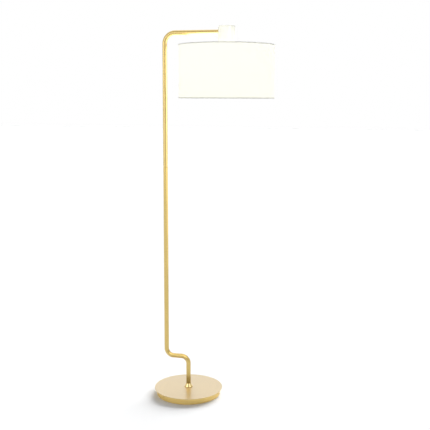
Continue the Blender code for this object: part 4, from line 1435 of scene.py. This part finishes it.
def make_suns(settings, floor):
    """The key and an even light on the floor, a fill on the cup, a ceiling on the lamp."""
    toward_right = Vector((math.cos(CAMERA_YAW), math.sin(CAMERA_YAW), 0.0))
    lift = math.sin(settings.key_height)
    flat = math.cos(settings.key_height) * (0.88 * TOWARD_BACK + 0.47 * toward_right).normalized()
    needed = settings.floor_light / settings.floor_colour[0]
    energy = math.pi * (needed * (1 - settings.shadow_lift) - settings.ambient) / lift
    make_sun("key", flat + Vector((0, 0, lift)), energy, settings.key_angle, [floor])
    energy = math.pi * needed * settings.shadow_lift
    even = make_sun("even_floor_light", (0, 0, 1), energy, 0.0, [floor])
    even.data.use_shadow = False
    cup = pieces_named("head_cup")
    front_way = -TOWARD_BACK + 0.25 * toward_right
    for name, flat_way in (("fill", front_way), ("fill_behind", -front_way)):
        way = flat_way + Vector((0, 0, 0.5))
        make_sun(name, way, math.pi * settings.fill, math.radians(90), cup)
    make_sun("ceiling", (0, 0, 1), math.pi * settings.ceiling, math.radians(20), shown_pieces())


def make_shade_glow():
    """What the lit shade throws on the cup, the arm and the post."""
    shade_low, shade_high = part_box("shade_cover")
    for name, drop, radiance, unseen_by in (
        ("glow_up", 0.004, 4.0, "diffuse"),
        ("glow_on_cup", 0.006, 1.15, "glossy"),
    ):
        centre = (HEAD_X, 0, shade_high.z - drop)
        panel_light(name, centre, (HEAD_X, 0, 3), (0.36, 0.36), radiance, disc=True, unseen_by=unseen_by)
    level = ((shade_low + shade_high) / 2).z
    beside = (shade_low.x - GLOW_GAP, 0, level)
    panel_light("glow_side", beside, (-1, 0, level), (0.06, 0.21), 3.0)


def make_post_glow():
    """The glow that fades down the post under the shade, as panels for its reflections alone."""
    shade_low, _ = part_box("shade_cover")
    steps, step_h = 5, 0.15
    for i in range(steps):
        level = shade_low.z - step_h * (i + 0.5)
        panel_light(
            f"glow_under_{i}",
            (shade_low.x - GLOW_GAP, 0, level),
            (-1, 0, level),
            (0.06, step_h),
            1.6 * (1 - i / steps),
            linked=pieces_named("stem_"),
            unseen_by="diffuse",
        )


# Each panel: name, degrees round the lamp from the camera's side, distance, height, size, radiance
# and the starts of the names of the pieces that reflect it.
PANELS = (
    ("soft_left", -50, 2.6, 1.75, (2.3, 1.8), 1.55, ("stem_",)),
    ("soft_right", 64, 2.6, 1.3, (1.2, 1.8), 0.7, ("stem_",)),
    ("soft_top", 10, 1.8, 1.8, (2.0, 1.2), 2.2, ("stem_lower",)),
    ("strip_right", 46, 2.8, 1.6, (0.32, 2.0), 4.0, ("head_cup", "stem_ferrule")),
    ("low_left", -62, 2.0, 0.35, (1.8, 0.6), 2.5, ("base_side",)),
    ("low_front", -6, 2.0, 0.3, (2.0, 0.6), 0.9, ("base_side",)),
)


def make_panels():
    """Soft panels round the lamp, for its reflections alone."""
    for name, degrees, distance, z, size, radiance, starts in PANELS:
        angle = CAMERA_YAW - math.pi / 2 + math.radians(degrees)
        centre = (distance * math.cos(angle), distance * math.sin(angle), z)
        lit = pieces_named(*starts)
        panel_light(name, centre, (0, 0, 0.5 * z), size, radiance, linked=lit, unseen_by="diffuse")


def make_pool():
    """A pale pool beside the stem, for the reflections of its upper tube alone."""
    lit = pieces_named("stem_upper")
    panel_light(
        "pool_below", (-0.3, 0.9, 0.35), (-0.3, 0.9, 2), (2.4, 2.0), 1.6, linked=lit, unseen_by="diffuse"
    )


def make_stage(settings):
    view_settings = bpy.context.scene.view_settings
    view_settings.view_transform = "Standard"
    view_settings.look = "None"
    floor = make_floor(settings)
    make_world(settings)
    make_camera()
    make_suns(settings, floor)
    make_shade_glow()
    make_panels()
    make_post_glow()
    make_pool()


# ---------------------------------------------------------------- operators
class FLOORLAMP_OT_base(bpy.types.Operator):
    """Make the base plate, its side ring, felt pad, cord inlet and ferrule"""

    bl_idname = "floor_lamp.base"
    bl_label = "Base"

    def execute(self, context):
        make_base(context.scene.lamp_base)
        return {"FINISHED"}


class FLOORLAMP_OT_stem(bpy.types.Operator):
    """Make the two bent tubes of the stem"""

    bl_idname = "floor_lamp.stem"
    bl_label = "Stem tubes"

    def execute(self, context):
        make_stem(context.scene.lamp_stem)
        return {"FINISHED"}


class FLOORLAMP_OT_head_cup(bpy.types.Operator):
    """Make the lacquered cup at the end of the arm"""

    bl_idname = "floor_lamp.head_cup"
    bl_label = "Head cup"

    def execute(self, context):
        make_cup(context.scene.lamp_head)
        return {"FINISHED"}


class FLOORLAMP_OT_lampholder(bpy.types.Operator):
    """Make the lampholder's cap, skirt, clamp ring and screw shell"""

    bl_idname = "floor_lamp.lampholder"
    bl_label = "Lampholder"

    def execute(self, context):
        make_lampholder(context.scene.lamp_head, context.scene.lamp_bulb)
        return {"FINISHED"}


class FLOORLAMP_OT_bulb(bpy.types.Operator):
    """Make the bulb's cap, contact, insulator, housing and globe"""

    bl_idname = "floor_lamp.bulb"
    bl_label = "Bulb"

    def execute(self, context):
        make_bulb(context.scene.lamp_bulb)
        return {"FINISHED"}


class FLOORLAMP_OT_shade(bpy.types.Operator):
    """Make the drum shade: cloth, liner, tapes, wire rings and spider"""

    bl_idname = "floor_lamp.shade"
    bl_label = "Drum shade"

    def execute(self, context):
        make_shade(context.scene.lamp_shade)
        return {"FINISHED"}


class FLOORLAMP_OT_inner_parts(bpy.types.Operator):
    """Finish the fasteners, leads and other inner parts that keep their frame shape"""

    bl_idname = "floor_lamp.inner_parts"
    bl_label = "Inner parts"

    def execute(self, context):
        finish_inner_parts()
        return {"FINISHED"}


class FLOORLAMP_OT_stage(bpy.types.Operator):
    """Make the floor, the camera and the lights"""

    bl_idname = "floor_lamp.stage"
    bl_label = "Stage"

    def execute(self, context):
        make_stage(context.scene.lamp_stage)
        return {"FINISHED"}


class FLOORLAMP_PT_panel(bpy.types.Panel):
    """Lists the lamp's operators with their settings"""

    bl_idname = "FLOORLAMP_PT_panel"
    bl_label = "Cranked Floor Lamp"
    bl_space_type = "VIEW_3D"
    bl_region_type = "UI"
    bl_category = "Floor Lamp"

    def draw(self, context):
        for operator, group in PANEL_ROWS:
            box = self.layout.box()
            box.operator(operator.bl_idname)
            if group:
                settings = getattr(context.scene, group)
                for name in settings.bl_rna.properties.keys():
                    if name not in ("rna_type", "name"):
                        box.prop(settings, name)


PANEL_ROWS = (
    (FLOORLAMP_OT_base, "lamp_base"),
    (FLOORLAMP_OT_stem, "lamp_stem"),
    (FLOORLAMP_OT_head_cup, "lamp_head"),
    (FLOORLAMP_OT_lampholder, None),
    (FLOORLAMP_OT_bulb, "lamp_bulb"),
    (FLOORLAMP_OT_shade, "lamp_shade"),
    (FLOORLAMP_OT_inner_parts, None),
    (FLOORLAMP_OT_stage, "lamp_stage"),
)
SETTINGS = {
    "lamp_base": LampBaseSettings,
    "lamp_stem": LampStemSettings,
    "lamp_head": LampHeadSettings,
    "lamp_bulb": LampBulbSettings,
    "lamp_shade": LampShadeSettings,
    "lamp_stage": LampStageSettings,
}
CLASSES = (*SETTINGS.values(), *(operator for operator, _ in PANEL_ROWS), FLOORLAMP_PT_panel)


def register():
    for cls in CLASSES:
        bpy.utils.register_class(cls)
    for name, cls in SETTINGS.items():
        setattr(bpy.types.Scene, name, PointerProperty(type=cls))


def unregister():
    for name in SETTINGS:
        delattr(bpy.types.Scene, name)
    for cls in reversed(CLASSES):
        bpy.utils.unregister_class(cls)


def main():
    register()
    bpy.ops.floor_lamp.base()
    bpy.ops.floor_lamp.stem()
    bpy.ops.floor_lamp.head_cup()
    bpy.ops.floor_lamp.lampholder()
    bpy.ops.floor_lamp.bulb()
    bpy.ops.floor_lamp.shade()
    bpy.ops.floor_lamp.inner_parts()
    bpy.ops.floor_lamp.stage()


if __name__ == "__main__":
    main()
